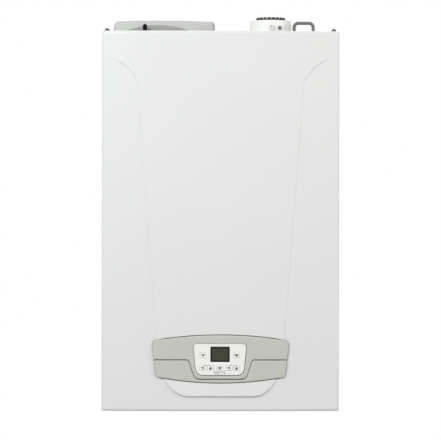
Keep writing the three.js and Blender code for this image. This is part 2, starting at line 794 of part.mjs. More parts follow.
// Control housing: a box whose rear is an arc round the hinge, so it swings out through the cut-out
const hingeSet = 1.3;
const hingeHeight = 64.5;
const hingePin = 0.8;
const hingePinHole = 1.1;
const hingeEye = 1.6;
const hingeReach = 34;
const lugWidth = 6;
const lugGap = 0.5;
const bracketWidth = 5;
const bracketThickness = 3;
const housingHalf = 100;
const housingTopGap = 0.9;
const housingWall = 2;
const housingFloor = 2.2;
const hingeY = faceY + hingeSet;
const housingReach = fasciaTopSide - housingTopGap - hingeHeight;
const boardTopGap = 5.4;
const boardLow = hingeHeight + housingFloor + housingWall + seatGap;
const boardHigh = hingeHeight + housingReach - housingWall - boardTopGap;

function swingProfile(reach, floor, front) {
  const places = [[front, floor], [hingeY + Math.sqrt(reach ** 2 - (floor - hingeHeight) ** 2), floor]];
  const first = Math.asin((floor - hingeHeight) / reach);
  const last = Math.acos(Math.max(front - hingeY, 0) / reach);
  const steps = 12;
  for (let i = 1; i <= steps; i += 1) {
    const angle = first + ((last - first) * i) / steps;
    places.push([hingeY + reach * Math.cos(angle), hingeHeight + reach * Math.sin(angle)]);
  }
  if (front < hingeY) places.push([front, hingeHeight + reach]);
  return outline(places);
}

// A solid whose outline is drawn in y and z, reaching between two places along x.
function sideExtrude(shape, from, to) {
  const geometry = new THREE.ExtrudeGeometry(shape, { depth: to - from, bevelEnabled: false });
  geometry.rotateX(Math.PI / 2);
  geometry.rotateZ(Math.PI / 2);
  geometry.translate(from, 0, 0);
  return solid(geometry);
}

function controlHousing() {
  const floor = hingeHeight + housingFloor;
  const rim = fasciaBack + seatGap;
  const front = rim + coverBow * (housingHalf / half) ** 2;
  const shell = sideExtrude(swingProfile(housingReach, floor, front), -housingHalf, housingHalf);
  const hollow = sideExtrude(
    swingProfile(housingReach - housingWall, floor + housingWall, front - overrun),
    -housingHalf + housingWall, housingHalf - housingWall,
  );
  const ledgeBack = boardFront + boardThickness + seatGap;
  const ledges = [-1, 1].map((side) => block(
    side * (housingHalf - housingWall / 2), side * (housingHalf - housingWall * 4),
    ledgeBack, ledgeBack + housingWall, floor + housingWall / 2, boardHigh,
  ));
  const lugs = [-1, 1].map((side) => {
    const outer = bracketX - bracketWidth / 2 - lugGap;
    return block(side * outer, side * (outer - lugWidth), hingeY - hingePinHole, hingeY + hingeEye * 2,
      hingeHeight - hingeEye, floor + housingWall / 2);
  });
  const pinRoom = rod(hingePinHole, -housingHalf, housingHalf, smallSides, alongX,
    [0, hingeY, hingeHeight]);
  return cut(join(cut(shell, hollow), ...ledges, ...lugs), pinRoom);
}

function controlBoard() {
  const side = housingHalf - housingWall - seatGap;
  return block(-side, side, boardFront, boardFront + boardThickness, boardLow, boardHigh);
}

function hingeRod() {
  return rod(hingePin, -hingeReach, hingeReach, smallSides, alongX, [0, hingeY, hingeHeight]);
}

// Hinge bracket: a flat arm under the housing with an open eye at its front, standing on the bottom panel
function hingeBracket(side) {
  const [x0, x1] = [side * (bracketX - bracketWidth / 2), side * (bracketX + bracketWidth / 2)];
  const rear = sideFront + sheet + seatGap + bracketWidth * 2;
  const low = hingeHeight - bracketThickness / 2;
  const arm = block(x0, x1, hingeY + seatGap, rear, low, low + bracketThickness);
  const leg = block(x0, x1, rear - bracketThickness, rear, panelFloor + seatGap,
    low + bracketThickness / 2);
  const foot = block(x0, x1, rear - bracketThickness, rear + bracketWidth * 3, panelFloor + seatGap,
    panelFloor + seatGap + bracketThickness / 2);
  const eye = rod(hingeEye, Math.min(x0, x1), Math.max(x0, x1), smallSides, alongX,
    [0, hingeY, hingeHeight]);
  const pinRoom = rod(hingePinHole, -half, half, smallSides, alongX, [0, hingeY, hingeHeight]);
  const mouth = block(x0 - overrun, x1 + overrun, hingeY - overrun, hingeY - hingePin,
    hingeHeight - overrun, hingeHeight + overrun);
  return cut(join(arm, leg, foot, eye), pinRoom, mouth);
}

// Flue turret, with its seal and two test caps
const turretEdge = 1.5;
const turretEdgeShare = 0.3;
const spigotRadius = flueRadius - flueWall - seatGap;
const spigotDrop = 22;
const testBlockWidth = 33;
const testBlockHeight = 20;
const testBlockDepth = 8;
const testBlockOffset = 8.3;
const testBlockLift = 7.5;
const testCapRadius = 5.6;
const testCapPitch = 15.2;
const testCapHead = 3;
const testCapPlug = 3.4;
const testCapPlugLength = 5;
const capRimShare = 0.7;
const capFaceShare = 0.8;
const testBlockX = turretX + testBlockOffset;
const testBlockZ = casingHeight + testBlockLift + testBlockHeight / 2;
const testBlockFront = turretY - turretRadius - testBlockDepth;

function flueTurret() {
  const base = casingHeight + seatGap;
  const top = casingHeight + turretHeight;
  const outer = turned([
    [sealInner, base - spigotDrop], [spigotRadius, base - spigotDrop], [spigotRadius, base],
    [turretFlange, base], [turretFlange, base + turretFlangeThickness],
    [turretRadius, base + turretFlangeThickness], [turretRadius, top - turretEdge],
    [turretRadius - turretEdge * turretEdgeShare, top - turretEdge * turretEdgeShare],
    [turretRadius - turretEdge, top], [sealOuter + seatGap, top],
    [sealOuter + seatGap, top - sealSeatDrop], [sealInner, top - sealSeatDrop],
    [sealInner, base - spigotDrop],
  ], wideSides, alongZ, [turretX, turretY, 0]);
  const [x0, x1] = [testBlockX - testBlockWidth / 2, testBlockX + testBlockWidth / 2];
  const [z0, z1] = [testBlockZ - testBlockHeight / 2, testBlockZ + testBlockHeight / 2];
  const housing = block(x0, x1, turretY - sealInner - overrun, testBlockFront, z0, z1);
  const ports = [-1, 1].map((side) => {
    const at = [testBlockX + (side * testCapPitch) / 2, testBlockFront, testBlockZ];
    return rod(testCapPlug + seatGap, -testCapPlugLength - runGap, overrun, smallSides, towardsFront, at);
  });
  return cut(join(outer, housing), ...ports);
}

function testCap(side) {
  const profile = [
    [0, -testCapPlugLength], [testCapPlug, -testCapPlugLength], [testCapPlug, seatGap],
    [testCapRadius, seatGap], [testCapRadius, testCapHead * capRimShare],
    [testCapRadius * capFaceShare, testCapHead], [0, testCapHead],
  ];
  return turned(profile, mediumSides, towardsFront,
    [testBlockX + (side * testCapPitch) / 2, testBlockFront, testBlockZ]);
}

const sealTeeth = 26;

function flueSeal() {
  const low = casingHeight + turretHeight - sealSeatDrop + seatGap;
  const high = casingHeight + turretHeight + flueSealHeight;
  const middle = (low + high) / 2;
  const ring = turned([
    [sealInner, low], [sealOuter, low], [sealOuter, high], [sealInner, high], [sealInner, low],
  ], sealTeeth * 2, alongZ, [turretX, turretY, 0]);
  const toothWidth = (Math.PI * sealOuter) / sealTeeth;
  const notches = Array.from({ length: sealTeeth }, (_, i) => {
    const angle = (Math.PI * 2 * i) / sealTeeth;
    const notch = new THREE.BoxGeometry(overrun, toothWidth, high - middle + overrun);
    notch.translate(sealOuter, 0, (high + middle + overrun) / 2);
    notch.rotateZ(angle);
    notch.translate(turretX, turretY, 0);
    return solid(notch);
  });
  return cut(ring, ...notches);
}

// Vent hose: out of one grommet hole, over in a U and down the other to the condensate trap
const hoseRise = 29.8;
const ventNippleDrop = 80;
const ventNippleZ = casingHeight - ventNippleDrop;
const trapTop = 220;
const nippleHeight = 10;
const hoseSway = 60;
const hoseBendSteps = 5;

function ventHose() {
  const top = casingHeight + hoseRise;
  const crown = top - hoseBend;
  const places = [[hoseInnerX, hoseY, ventNippleZ + nippleHeight + seatGap]];
  for (const [x, from] of [[hoseInnerX + hoseBend, Math.PI], [hoseOuterX - hoseBend, Math.PI / 2]]) {
    for (let i = 0; i <= hoseBendSteps; i += 1) {
      const angle = from - (Math.PI / 2) * (i / hoseBendSteps);
      places.push([x + hoseBend * Math.cos(angle), hoseY, crown + hoseBend * Math.sin(angle)]);
    }
  }
  const swayHigh = trapTop + hoseSway * 3;
  const swaySteps = 6;
  for (let i = 0; i <= swaySteps; i += 1) {
    const share = (1 - Math.cos((Math.PI * i) / swaySteps)) / 2;
    const z = swayHigh - ((swayHigh - trapTop - hoseSway) * i) / swaySteps;
    places.push([hoseOuterX + (trapX - hoseOuterX) * share, hoseY + (trapY - hoseY) * share, z]);
  }
  places.push([trapX, trapY, trapTop + nippleHeight + seatGap]);
  return swept(places.map((place) => new THREE.Vector3(...place)), hoseRadius, hoseRadius - hoseWall, 8);
}

// Expansion vessel: two dished halves with a seam, and an arched raised panel on its face
const vesselCornerRadius = 12;
const vesselDish = 9;
const vesselSeam = 3;
const vesselArch = 180;
const vesselPadHalf = 78;
const vesselPadX = -120;
const vesselPadDrop = 13.3;
const vesselPadRise = 2.5;
const vesselWall = 1.6;
const vesselPort = 5;
const vesselPipeY = vesselBack - vesselDepth / 2;
const vesselX = (vesselLeft + vesselRight) / 2;
const vesselMiddleZ = vesselTop - vesselHeight / 2;

// One bevelled pillow in the vessel's outline; the inset gives the hollow inside its steel.
function vesselPillow(inset) {
  const across = (vesselDish + vesselSeam) * 2;
  const core = roundedRect(vesselX, vesselMiddleZ, vesselWidth - across, vesselHeight - across,
    vesselCornerRadius - vesselDish);
  const dish = vesselDish - inset;
  const pillow = new THREE.ExtrudeGeometry(core, {
    depth: vesselDepth - vesselPadRise - vesselDish * 2, bevelEnabled: true, bevelThickness: dish,
    bevelSize: dish, bevelSegments: 3, curveSegments: 2,
  });
  pillow.rotateX(Math.PI / 2);
  pillow.translate(0, vesselBack - vesselDish, 0);
  return solid(pillow);
}

function expansionVessel() {
  const middle = vesselBack - (vesselDepth - vesselPadRise) / 2;
  const seam = frontPlate(roundedRect(vesselX, vesselMiddleZ, vesselWidth, vesselHeight,
    vesselCornerRadius), middle + vesselSeam / 2, middle - vesselSeam / 2, 4);
  const pad = new THREE.Shape();
  const padTop = vesselTop - vesselPadDrop;
  const lean = Math.asin(vesselPadHalf / vesselArch);
  pad.absarc(vesselPadX, padTop - vesselArch, vesselArch, Math.PI / 2 - lean, Math.PI / 2 + lean);
  const padFoot = vesselTop - vesselHeight + vesselDish * 3;
  pad.lineTo(vesselPadX - vesselPadHalf, padFoot);
  pad.lineTo(vesselPadX + vesselPadHalf, padFoot);
  const shell = join(vesselPillow(0), seam, frontPlate(pad, vesselFront + vesselDish, vesselFront, 6));
  const foot = vesselTop - vesselHeight;
  const port = rod(vesselPort, foot - overrun, foot + vesselDish * 2, mediumSides, alongZ,
    [vesselX, vesselPipeY, 0]);
  return cut(shell, vesselPillow(vesselWall), port);
}

// Charging valve: an elbow on the vessel's face that turns up to a capped stem
const valveX = -146;
const valveStem = 3.2;
const valveBody = 4.4;
const valveArmDrop = 44.3;
const valveLow = vesselTop - valveArmDrop;
const valveCapHeight = 18;
const valveCapDrop = 12.3;
const valveCapTop = vesselTop - valveCapDrop;
const valveCapCrownShare = 0.75;
const valveCapEdgeShare = 0.3;

function chargingValve() {
  const arm = rod(valveBody, 0, valveReach + valveBody, smallSides, towardsFront,
    [valveX, vesselFront - seatGap, valveLow]);
  const post = rod(valveBody, valveLow, valveCapTop - valveCapHeight - seatGap, smallSides, alongZ,
    [valveX, valveY, 0]);
  const stem = rod(valveStem, valveLow, valveCapTop - valveCapHeight / 2, smallSides, alongZ,
    [valveX, valveY, 0]);
  return join(arm, post, stem);
}

function valveCap() {
  const foot = valveCapTop - valveCapHeight;
  const profile = [
    [valveStem + seatGap, foot], [valveCapRadius, foot], [valveCapRadius, valveCapTop - valveStem],
    [valveCapRadius * valveCapCrownShare, valveCapTop - valveStem * valveCapEdgeShare], [0, valveCapTop],
    [0, valveCapTop - valveCapHeight / 2 + seatGap],
    [valveStem + seatGap, valveCapTop - valveCapHeight / 2 + seatGap], [valveStem + seatGap, foot],
  ];
  return turned(profile, mediumSides, alongZ, [valveX, valveY, 0]);
}

// Heat exchanger: a drum open at the front, its coil, the burner and the door that carries it
const drumRadius = 100;
const drumWall = 3;
const drumFlange = 6;
const drumSideGap = 28;
const drumDrop = 160;
const drumX = -(wallInner - drumSideGap - drumRadius);
const drumZ = casingHeight - drumDrop;
const lugHeight = 24;
const lugSpread = 45;
const portLength = 14;
const portWall = 3;
const coilOuter = 92;
const coilInner = 76;
const coilLength = 118;
const burnerRadius = 35;
const burnerWall = 1.5;
const burnerLength = 100;
const collarRadius = 13;
const collarDrop = 105;
const waterPipeRadius = 9;
const waterPipeWall = 1;
const waterPortX = 55;
const waterPortInset = 19.4;
const waterPortY = drumBack - waterPortInset;
const flowPortX = drumX - waterPortX;
const returnPortX = drumX + waterPortX;

function exchangerHousing() {
  const at = [drumX, 0, drumZ];
  const cup = turned([
    [0, -drumBack], [drumRadius, -drumBack], [drumRadius, -drumFront - drumFlange],
    [drumRadius + drumFlange, -drumFront - drumFlange], [drumRadius + drumFlange, -drumFront],
    [0, -drumFront],
  ], wideSides, towardsFront, at);
  const inside = rod(drumRadius - drumWall, -drumBack + drumWall, -drumFront + overrun, wideSides,
    towardsFront, at);
  const lugs = [-1, 1].map((side) => block(-wallInner + seatGap, drumX - drumRadius / 2,
    drumBack - drumWall, drumBack - drumWall - lugHeight,
    drumZ + side * lugSpread - lugHeight / 2, drumZ + side * lugSpread + lugHeight / 2));
  const collars = [flowPortX, returnPortX].map((x) => rod(collarRadius, drumZ - collarDrop,
    drumZ - waterPortX, mediumSides, alongZ, [x, waterPortY, 0]));
  const flueCollar = rod(flueRadius + portWall, 0, drumRadius + portLength, roundSides, alongX,
    [drumX, turretY, drumZ]);
  const flueHole = rod(flueRadius + seatGap, drumRadius - drumWall * 2,
    drumRadius + portLength + overrun, roundSides, alongX, [drumX, turretY, drumZ]);
  const fluePassage = rod(flueRadius - portWall, drumRadius / 2, drumRadius, roundSides, alongX,
    [drumX, turretY, drumZ]);
  return cut(join(cup, ...lugs, ...collars, flueCollar), inside, flueHole, fluePassage);
}

function exchangerCoil() {
  const back = -drumBack + drumWall + seatGap;
  return turned([
    [coilInner, back], [coilOuter, back], [coilOuter, back + coilLength], [coilInner, back + coilLength],
    [coilInner, back],
  ], wideSides, towardsFront, [drumX, 0, drumZ]);
}

function burnerTube() {
  const front = -doorBack - seatGap;
  const back = front - burnerLength;
  return turned([
    [0, back], [burnerRadius, back], [burnerRadius, front], [burnerRadius - burnerWall, front],
    [burnerRadius - burnerWall, back + burnerWall], [0, back + burnerWall],
  ], roundSides, towardsFront, [drumX, 0, drumZ]);
}

// Fan places, which the door's duct runs to
const fanRadius = 65;
const fanWall = 3;
const fanDepth = 60;
const fanX = (drumX + drumRadius + wallInner) / 2;
const fanZ = drumZ;
const fanBack = ductFront + fanDepth;
const outletHigh = 62;
const outletHeight = 40;
const outletReach = 8;
const hubRadius = 45;
const electrodeOffset = 40;
const electrodeRadius = 3.5;

function burnerDoor() {
  const at = [drumX, 0, drumZ];
  const disc = rod(drumRadius + drumFlange, -doorBack, -doorFront, wideSides, towardsFront, at);
  const hub = rod(hubRadius, -doorBack, -ductFront, roundSides, towardsFront, at);
  const ductEnd = fanX - fanRadius - outletReach - seatGap;
  const [high, low] = [drumZ + outletHigh, drumZ + outletHigh - outletHeight];
  const duct = block(drumX, ductEnd, doorFront + doorThickness / 2, ductFront, low, high);
  const hubBore = rod(burnerRadius - burnerWall, -doorBack - overrun, -ductFront - portWall, roundSides,
    towardsFront, at);
  const ductBore = block(drumX, ductEnd + overrun, doorFront - portWall, ductFront + portWall,
    low + portWall, high - portWall);
  const electrodeHole = rod(electrodeRadius + seatGap, -doorBack - overrun, -doorFront + overrun,
    smallSides, towardsFront, [drumX - electrodeOffset, 0, drumZ - electrodeOffset]);
  return cut(join(disc, hub, duct), hubBore, ductBore, electrodeHole);
}

const electrodeCollar = 6;
const electrodeTip = 1.2;
const electrodeTipLength = 45;

function ignitionElectrode() {
  const [back, front] = [-doorBack, -doorFront + seatGap];
  return turned([
    [0, back - electrodeTipLength], [electrodeTip, back - electrodeTipLength], [electrodeTip, back],
    [electrodeRadius, back], [electrodeRadius, front], [electrodeCollar, front],
    [electrodeCollar, front + electrodeCollar], [electrodeRadius, front + electrodeCollar * 2],
    [0, front + electrodeCollar * 2],
  ], smallSides, towardsFront, [drumX - electrodeOffset, 0, drumZ - electrodeOffset]);
}

// Fan: housing with a side outlet, bladed wheel on a shaft, and the motor in front
const wheelRadius = 50;
const wheelDepth = 26;
const wheelDisc = 3;
const bladeThickness = 2;
const bladeCount = 10;
const bladeInner = 24;
const bladeLean = Math.PI / 5;
const shaftRadius = 3;
const motorRadius = 32;
const motorDepth = 30;
const mixerRadius = 28;
const mixerWall = 4;

function fanHousing() {
  const at = [fanX, 0, fanZ];
  const drum = rod(fanRadius, -fanBack, -ductFront, wideSides, towardsFront, at);
  const [high, low] = [drumZ + outletHigh, drumZ + outletHigh - outletHeight];
  const outlet = block(fanX - fanRadius - outletReach, fanX, doorFront - seatGap, ductFront, low, high);
  const chamber = rod(fanRadius - fanWall, -fanBack + fanWall, -ductFront - fanWall, wideSides,
    towardsFront, at);
  const outletBore = block(fanX - fanRadius - outletReach - overrun, fanX, doorFront - fanWall,
    ductFront + fanWall, low + fanWall, high - fanWall);
  const inlet = rod(mixerRadius - mixerWall, -fanBack - overrun, -fanBack + overrun, roundSides,
    towardsFront, at);
  const shaftHole = rod(shaftRadius + runGap, -ductFront - overrun, -ductFront + overrun, smallSides,
    towardsFront, at);
  return cut(join(drum, outlet), chamber, outletBore, inlet, shaftHole);
}

function fanImpeller() {
  const at = [fanX, 0, fanZ];
  const wheelFront = -ductFront - fanWall - runGap * 4;
  const disc = rod(wheelRadius, wheelFront - wheelDisc, wheelFront, roundSides, towardsFront, at);
  const shaft = rod(shaftRadius, wheelFront - wheelDepth, -ductFront + motorDepth / 2, smallSides,
    towardsFront, at);
  const hub = rod(shaftRadius * 3, wheelFront - wheelDepth / 2, wheelFront, mediumSides, towardsFront, at);
  const blades = Array.from({ length: bladeCount }, (_, i) => {
    const blade = new THREE.BoxGeometry(wheelRadius - bladeInner, wheelDepth, bladeThickness);
    blade.rotateY(bladeLean);
    blade.translate((wheelRadius + bladeInner) / 2 - bladeThickness * 2, wheelDepth / 2 - wheelFront, 0);
    blade.rotateY((Math.PI * 2 * i) / bladeCount);
    blade.translate(...at);
    return solid(blade);
  });
  return join(disc, shaft, hub, ...blades);
}

function fanMotor() {
  const front = -ductFront + seatGap + motorDepth;
  const shell = turned([
    [0, -ductFront + seatGap], [motorRadius, -ductFront + seatGap], [motorRadius, front - mixerWall],
    [motorRadius - mixerWall, front], [0, front],
  ], roundSides, towardsFront, [fanX, 0, fanZ]);
  const shaftRoom = rod(shaftRadius + seatGap, -ductFront - overrun,
    -ductFront + motorDepth / 2 + runGap, smallSides, towardsFront, [fanX, 0, fanZ]);
  return cut(shell, shaftRoom);
}

// Gas and air side: mixer behind the fan, intake above it, gas valve and gas pipe below it
const mixerLength = 36;
const mixerFront = fanBack + seatGap;
const mixerY = mixerFront + mixerLength / 2;
const intakeRadius = 16;
const intakeWall = 1.5;
const intakeLength = 100;
const intakeBell = 5;
const gasRadius = 9;
const mixerStub = 12;
const gasValveWidth = 56;
const gasValveDepth = 58;
const gasValveHeight = 60;
const gasStub = fanRadius + workGap;
const gasValveTop = fanZ - gasStub - seatGap;
const gasInlet = gasValveTop - gasValveHeight - mixerStub;
const gasRunDrop = 22;
const gasBend = 26;
const solenoidLowShare = 0.64;
const solenoidHighShare = 0.92;

function gasMixer() {
  const shell = rod(mixerRadius, -mixerY - mixerLength / 2, -mixerY + mixerLength / 2, roundSides,
    towardsFront, [fanX, 0, fanZ]);
  const bore = rod(mixerRadius - mixerWall, -mixerY - mixerLength / 2 + mixerWall,
    -mixerY + mixerLength / 2 + overrun, roundSides, towardsFront, [fanX, 0, fanZ]);
  const socket = rod(intakeRadius, 0, mixerRadius + mixerStub, roundSides, alongZ, [fanX, mixerY, fanZ]);
  const socketBore = rod(intakeRadius - intakeWall * 2, 0, mixerRadius + mixerStub + overrun,
    roundSides, alongZ, [fanX, mixerY, fanZ]);
  const stub = rod(gasRadius, -gasStub, 0, mediumSides, alongZ, [fanX, mixerY, fanZ]);
  const stubBore = rod(gasRadius - mixerWall / 2, -gasStub - overrun, 0, mediumSides, alongZ,
    [fanX, mixerY, fanZ]);
  return cut(join(shell, socket, stub), bore, socketBore, stubBore);
}

function airIntakePipe() {
  const low = fanZ + mixerRadius + mixerStub + seatGap;
  const high = low + intakeLength;
  const inner = intakeRadius - intakeWall;
  return turned([
    [inner, low], [intakeRadius, low], [intakeRadius, high - intakeBell],
    [intakeRadius + intakeBell - intakeWall, high], [inner + intakeBell - intakeWall, high],
    [inner, high - intakeBell], [inner, low],
  ], roundSides, alongZ, [fanX, mixerY, 0]);
}

function gasValve() {
  const [x0, x1] = [fanX - gasValveWidth / 2, fanX + gasValveWidth / 2];
  const [y0, y1] = [mixerY - gasValveDepth / 2, mixerY + gasValveDepth / 2];
  const low = gasValveTop - gasValveHeight;
  const core = floorPlate(roundedRect(fanX, mixerY, x1 - x0, y1 - y0, gasRadius / 2), low, gasValveTop, 3);
  const regulator = rod(gasValveHeight / 4, 0, gasValveDepth / 2 + mixerStub, roundSides, towardsFront,
    [fanX, mixerY, low + gasValveHeight / 3]);
  const solenoid = block(x0 + mixerWall, x1 - mixerWall, y0 - mixerStub, y1 - mixerWall,
    low + gasValveHeight * solenoidLowShare, low + gasValveHeight * solenoidHighShare);
  const inlet = rod(gasRadius + mixerWall, gasInlet, low + mixerWall, hexagon, alongZ, [fanX, mixerY, 0]);
  return join(core, regulator, solenoid, inlet);
}

// A pipe end below the casing: a hexagonal union nut round the pipe, flush with its end.
function unionNut(x) {
  return rod(unionRadius, pipeEnd, pipeEnd + unionHeight, hexagon, alongZ, [x, manifoldY, 0]);
}

function unionBore(x) {
  return rod(pipeRadius - waterPipeWall * 2, pipeEnd - overrun, pipeEnd + unionHeight * 2, mediumSides,
    alongZ, [x, manifoldY, 0]);
}

function gasPipe() {
  const runHeight = gasInlet - gasRunDrop;
  const tube = pipe([
    [0, manifoldY, pipeEnd], [0, manifoldY, runHeight], [fanX, mixerY, runHeight],
    [fanX, mixerY, gasInlet - seatGap],
  ], gasRadius, 0, gasBend);
  return cut(join(tube, unionNut(0)), rod(gasRadius - waterPipeWall, pipeEnd - overrun,
    pipeEnd + unionHeight * 2, mediumSides, alongZ, [0, manifoldY, 0]));
}

// Flue elbow: from the drum's side port across to below the turret, then up into its spigot
const elbowNipple = 3;
const elbowTopDrop = 2;

function flueElbow() {
  const from = drumX + drumRadius - drumWall + seatGap;
  const top = casingHeight - elbowTopDrop;
  const corner = [turretX, turretY, drumZ];
  const legs = (radius, extra) => {
    const ball = new THREE.SphereGeometry(radius, roundSides, roundSides / 2);
    ball.rotateX(Math.PI / 2);
    ball.translate(...corner);
    return join(
      rod(radius, from - turretX - extra, 0, roundSides, alongX, corner),
      rod(radius, 0, top - drumZ + extra, roundSides, alongZ, corner),
      solid(ball),
    );
  };
  const arm = block(turretX + flueRadius - flueWall * 2, hoseInnerX + hoseRadius, hoseY - hoseRadius,
    hoseY + hoseRadius, ventNippleZ - hoseRadius * 2, ventNippleZ);
  const nipple = rod(elbowNipple, ventNippleZ - hoseRadius, ventNippleZ + nippleHeight, smallSides, alongZ,
    [hoseInnerX, hoseY, 0]);
  const bore = legs(flueRadius - flueWall, overrun);
  return join(cut(legs(flueRadius, 0), bore), cut(arm, bore), nipple);
}

// Hydraulics: a brass block on each side with its pipe ends, the pump, and the plate exchanger in front
const manifoldRise = 38.8;
const manifoldHeight = 60;
const manifoldLow = panelFloor + manifoldRise;
const manifoldTop = manifoldLow + manifoldHeight;
const manifoldEnd = 25;
const manifoldFront = manifoldY - manifoldDepth / 2;
const portRadius = 8;
const plateGap = 20;
const plateBack = manifoldFront - plateGap;
const plateDepth = 50;
const plateHeight = 75;
const plateHalf = 95;
const plateCount = 12;
const plateStep = 1.5;
const plateGrooveShare = 0.2;
const plateLift = 2;
const plateLow = manifoldLow + plateLift;
const platePortInset = 15;
const platePortX = plateHalf - platePortInset;
const platePortRise = 16;
const platePortPitch = 28;
const platePortZs = [0, platePortPitch].map((rise) => manifoldLow + platePortRise + rise);
const pumpX = fillingX;
const pumpRise = 68;
const pumpZ = manifoldTop + pumpRise;
const pumpVolute = 40;
const voluteSet = 38;
const pumpBack = manifoldY + voluteSet;
const pumpMotorRadius = 42;
const pumpMotorDepth = 75;
const pumpPortSet = 26;
const pumpPortY = manifoldY + pumpPortSet;
const pumpBoxShare = 0.6;
const pumpBoxDepthShare = 0.7;
const pumpBoxReach = 12;
const reliefX = pipePitch * 2;
const reliefRise = 30;
const reliefZ = manifoldLow + reliefRise;
const reliefRadius = 12;
const reliefLength = 15;
const reliefKnobDepth = 18;

function manifoldBlock(side) {
  const [x0, x1] = [side * (pipePitch - manifoldEnd), side * (pipePitch * 2 + manifoldEnd)];
  const core = block(x0, x1, manifoldY + manifoldDepth / 2, manifoldFront, manifoldLow, manifoldTop);
  const xs = [side * pipePitch, side * pipePitch * 2];
  const tubes = xs.map((x) => rod(pipeRadius, pipeEnd, manifoldLow + portRadius, mediumSides, alongZ,
    [x, manifoldY, 0]));
  const ports = platePortZs.map((z) => rod(portRadius, -manifoldFront - portRadius,
    -plateBack - seatGap, mediumSides, towardsFront, [side * platePortX, 0, z]));
  return cut(join(core, ...tubes, ...xs.map(unionNut), ...ports), ...xs.map(unionBore));
}

function flowManifold() {
  const socket = rod(collarRadius, manifoldTop - portRadius, manifoldTop + portRadius, mediumSides, alongZ,
    [flowEndX, manifoldY, 0]);
  return join(manifoldBlock(-1), socket);
}

function returnManifold() {
  const volute = rod(pumpVolute, -pumpBack, -manifoldFront, roundSides, towardsFront, [pumpX, 0, pumpZ]);
  const neck = rod(collarRadius, manifoldTop - portRadius, pumpZ, mediumSides, alongZ,
    [pumpX, manifoldY, 0]);
  const outlet = rod(collarRadius, pumpZ, pumpZ + pumpVolute + portRadius, mediumSides, alongZ,
    [pumpX, pumpPortY, 0]);
  const relief = rod(reliefRadius, -manifoldFront - portRadius, -manifoldFront + reliefLength, mediumSides,
    towardsFront, [reliefX, 0, reliefZ]);
  return join(manifoldBlock(1), volute, neck, outlet, relief);
}

function pumpMotor() {
  const back = -manifoldFront + seatGap;
  const front = back + pumpMotorDepth;
  const shell = turned([
    [0, back], [pumpMotorRadius, back], [pumpMotorRadius, front - portRadius],
    [pumpMotorRadius - portRadius / 2, front], [0, front],
  ], roundSides, towardsFront, [pumpX, 0, pumpZ]);
  const side = pumpMotorRadius * pumpBoxShare;
  const box = block(pumpX + side, pumpX + pumpMotorRadius + pumpBoxReach, manifoldFront - portRadius,
    manifoldFront - pumpMotorDepth * pumpBoxDepthShare, pumpZ - side, pumpZ + side);
  return join(shell, box);
}

function plateExchanger() {
  const core = block(-plateHalf, plateHalf, plateBack, plateBack - plateDepth, plateLow,
    plateLow + plateHeight);
  const pitch = plateDepth / plateCount;
  const grooves = Array.from({ length: plateCount - 1 }, (_, i) => {
    const y = plateBack - pitch * (i + 1);
    const [y0, y1] = [y - pitch * plateGrooveShare, y + pitch * plateGrooveShare];
    return cut(
      block(-plateHalf - overrun, plateHalf + overrun, y0, y1, plateLow - overrun,
        plateLow + plateHeight + overrun),
      block(-plateHalf + plateStep, plateHalf - plateStep, y0 - overrun, y1 + overrun, plateLow + plateStep,
        plateLow + plateHeight - plateStep),
    );
  });
  return cut(core, ...grooves);
}

const diverterXShare = 1.25;
const diverterX = -pipePitch * diverterXShare;
const diverterWidth = 44;
const diverterHeight = 55;
const diverterNeck = 12;

function diverterMotor() {
  const foot = manifoldTop + seatGap;
  return join(
    floorPlate(roundedRect(diverterX, manifoldY, diverterWidth, diverterWidth, portRadius),
      foot + portRadius, foot + diverterHeight, 3),
    rod(diverterWidth / 3, foot, foot + diverterNeck, mediumSides, alongZ, [diverterX, manifoldY, 0]),
  );
}

// Copper pipes between the drum and the blocks
const flowEndXShare = 2.1;
const flowEndX = -pipePitch * flowEndXShare;
const flowJogRise = 60;
const waterBend = 24;

function flowPipe() {
  const top = drumZ - collarDrop - seatGap;
  const low = manifoldTop + portRadius + seatGap;
  return pipe([
    [flowPortX, waterPortY, top], [flowPortX, waterPortY, low + flowJogRise * 2],
    [flowEndX, manifoldY, low + flowJogRise], [flowEndX, manifoldY, low],
  ], waterPipeRadius, waterPipeRadius - waterPipeWall, waterBend);
}

function returnPipe() {
  const low = pumpZ + pumpVolute + portRadius + seatGap;
  const top = drumZ - collarDrop - seatGap;
  const run = (low + top) / 2;
  return pipe([
    [pumpX, pumpPortY, low], [pumpX, pumpPortY, run], [returnPortX, waterPortY, run],
    [returnPortX, waterPortY, top],
  ], waterPipeRadius, waterPipeRadius - waterPipeWall, waterBend);
}

const vesselPipeRadius = 6;
const vesselPipeBend = 16;
const vesselPipeRise = 28;

function vesselPipe() {
  const y = vesselPipeY;
  const z = manifoldLow + vesselPipeRise;
  return pipe([
    [vesselX, y, vesselTop - vesselHeight - seatGap], [vesselX, y, z], [pipePitch, y, z],
    [pipePitch, manifoldY + manifoldDepth / 2 + seatGap, z],
  ], vesselPipeRadius, vesselPipeRadius - waterPipeWall, vesselPipeBend);
}

// Relief knob, filling knob, condensate trap and pressure gauge
const knobFlutes = 6;
const fluteRadius = 3;
const fluteSinkShare = 0.4;

function flutedKnob(from, to, turnTo, at) {
  const core = rod(knobRadius, from, to, wideSides, turnTo, at);
  const out = knobRadius + fluteRadius * fluteSinkShare;
  const flutes = Array.from({ length: knobFlutes }, (_, i) => {
    const angle = (Math.PI * 2 * i) / knobFlutes;
    const flute = new THREE.CylinderGeometry(fluteRadius, fluteRadius, (to - from) * 2, hexagon);
    flute.translate(out * Math.cos(angle), (from + to) / 2, out * Math.sin(angle));
    turnTo(flute);
    flute.translate(...at);
    return solid(flute);
  });
  return cut(core, ...flutes);
}

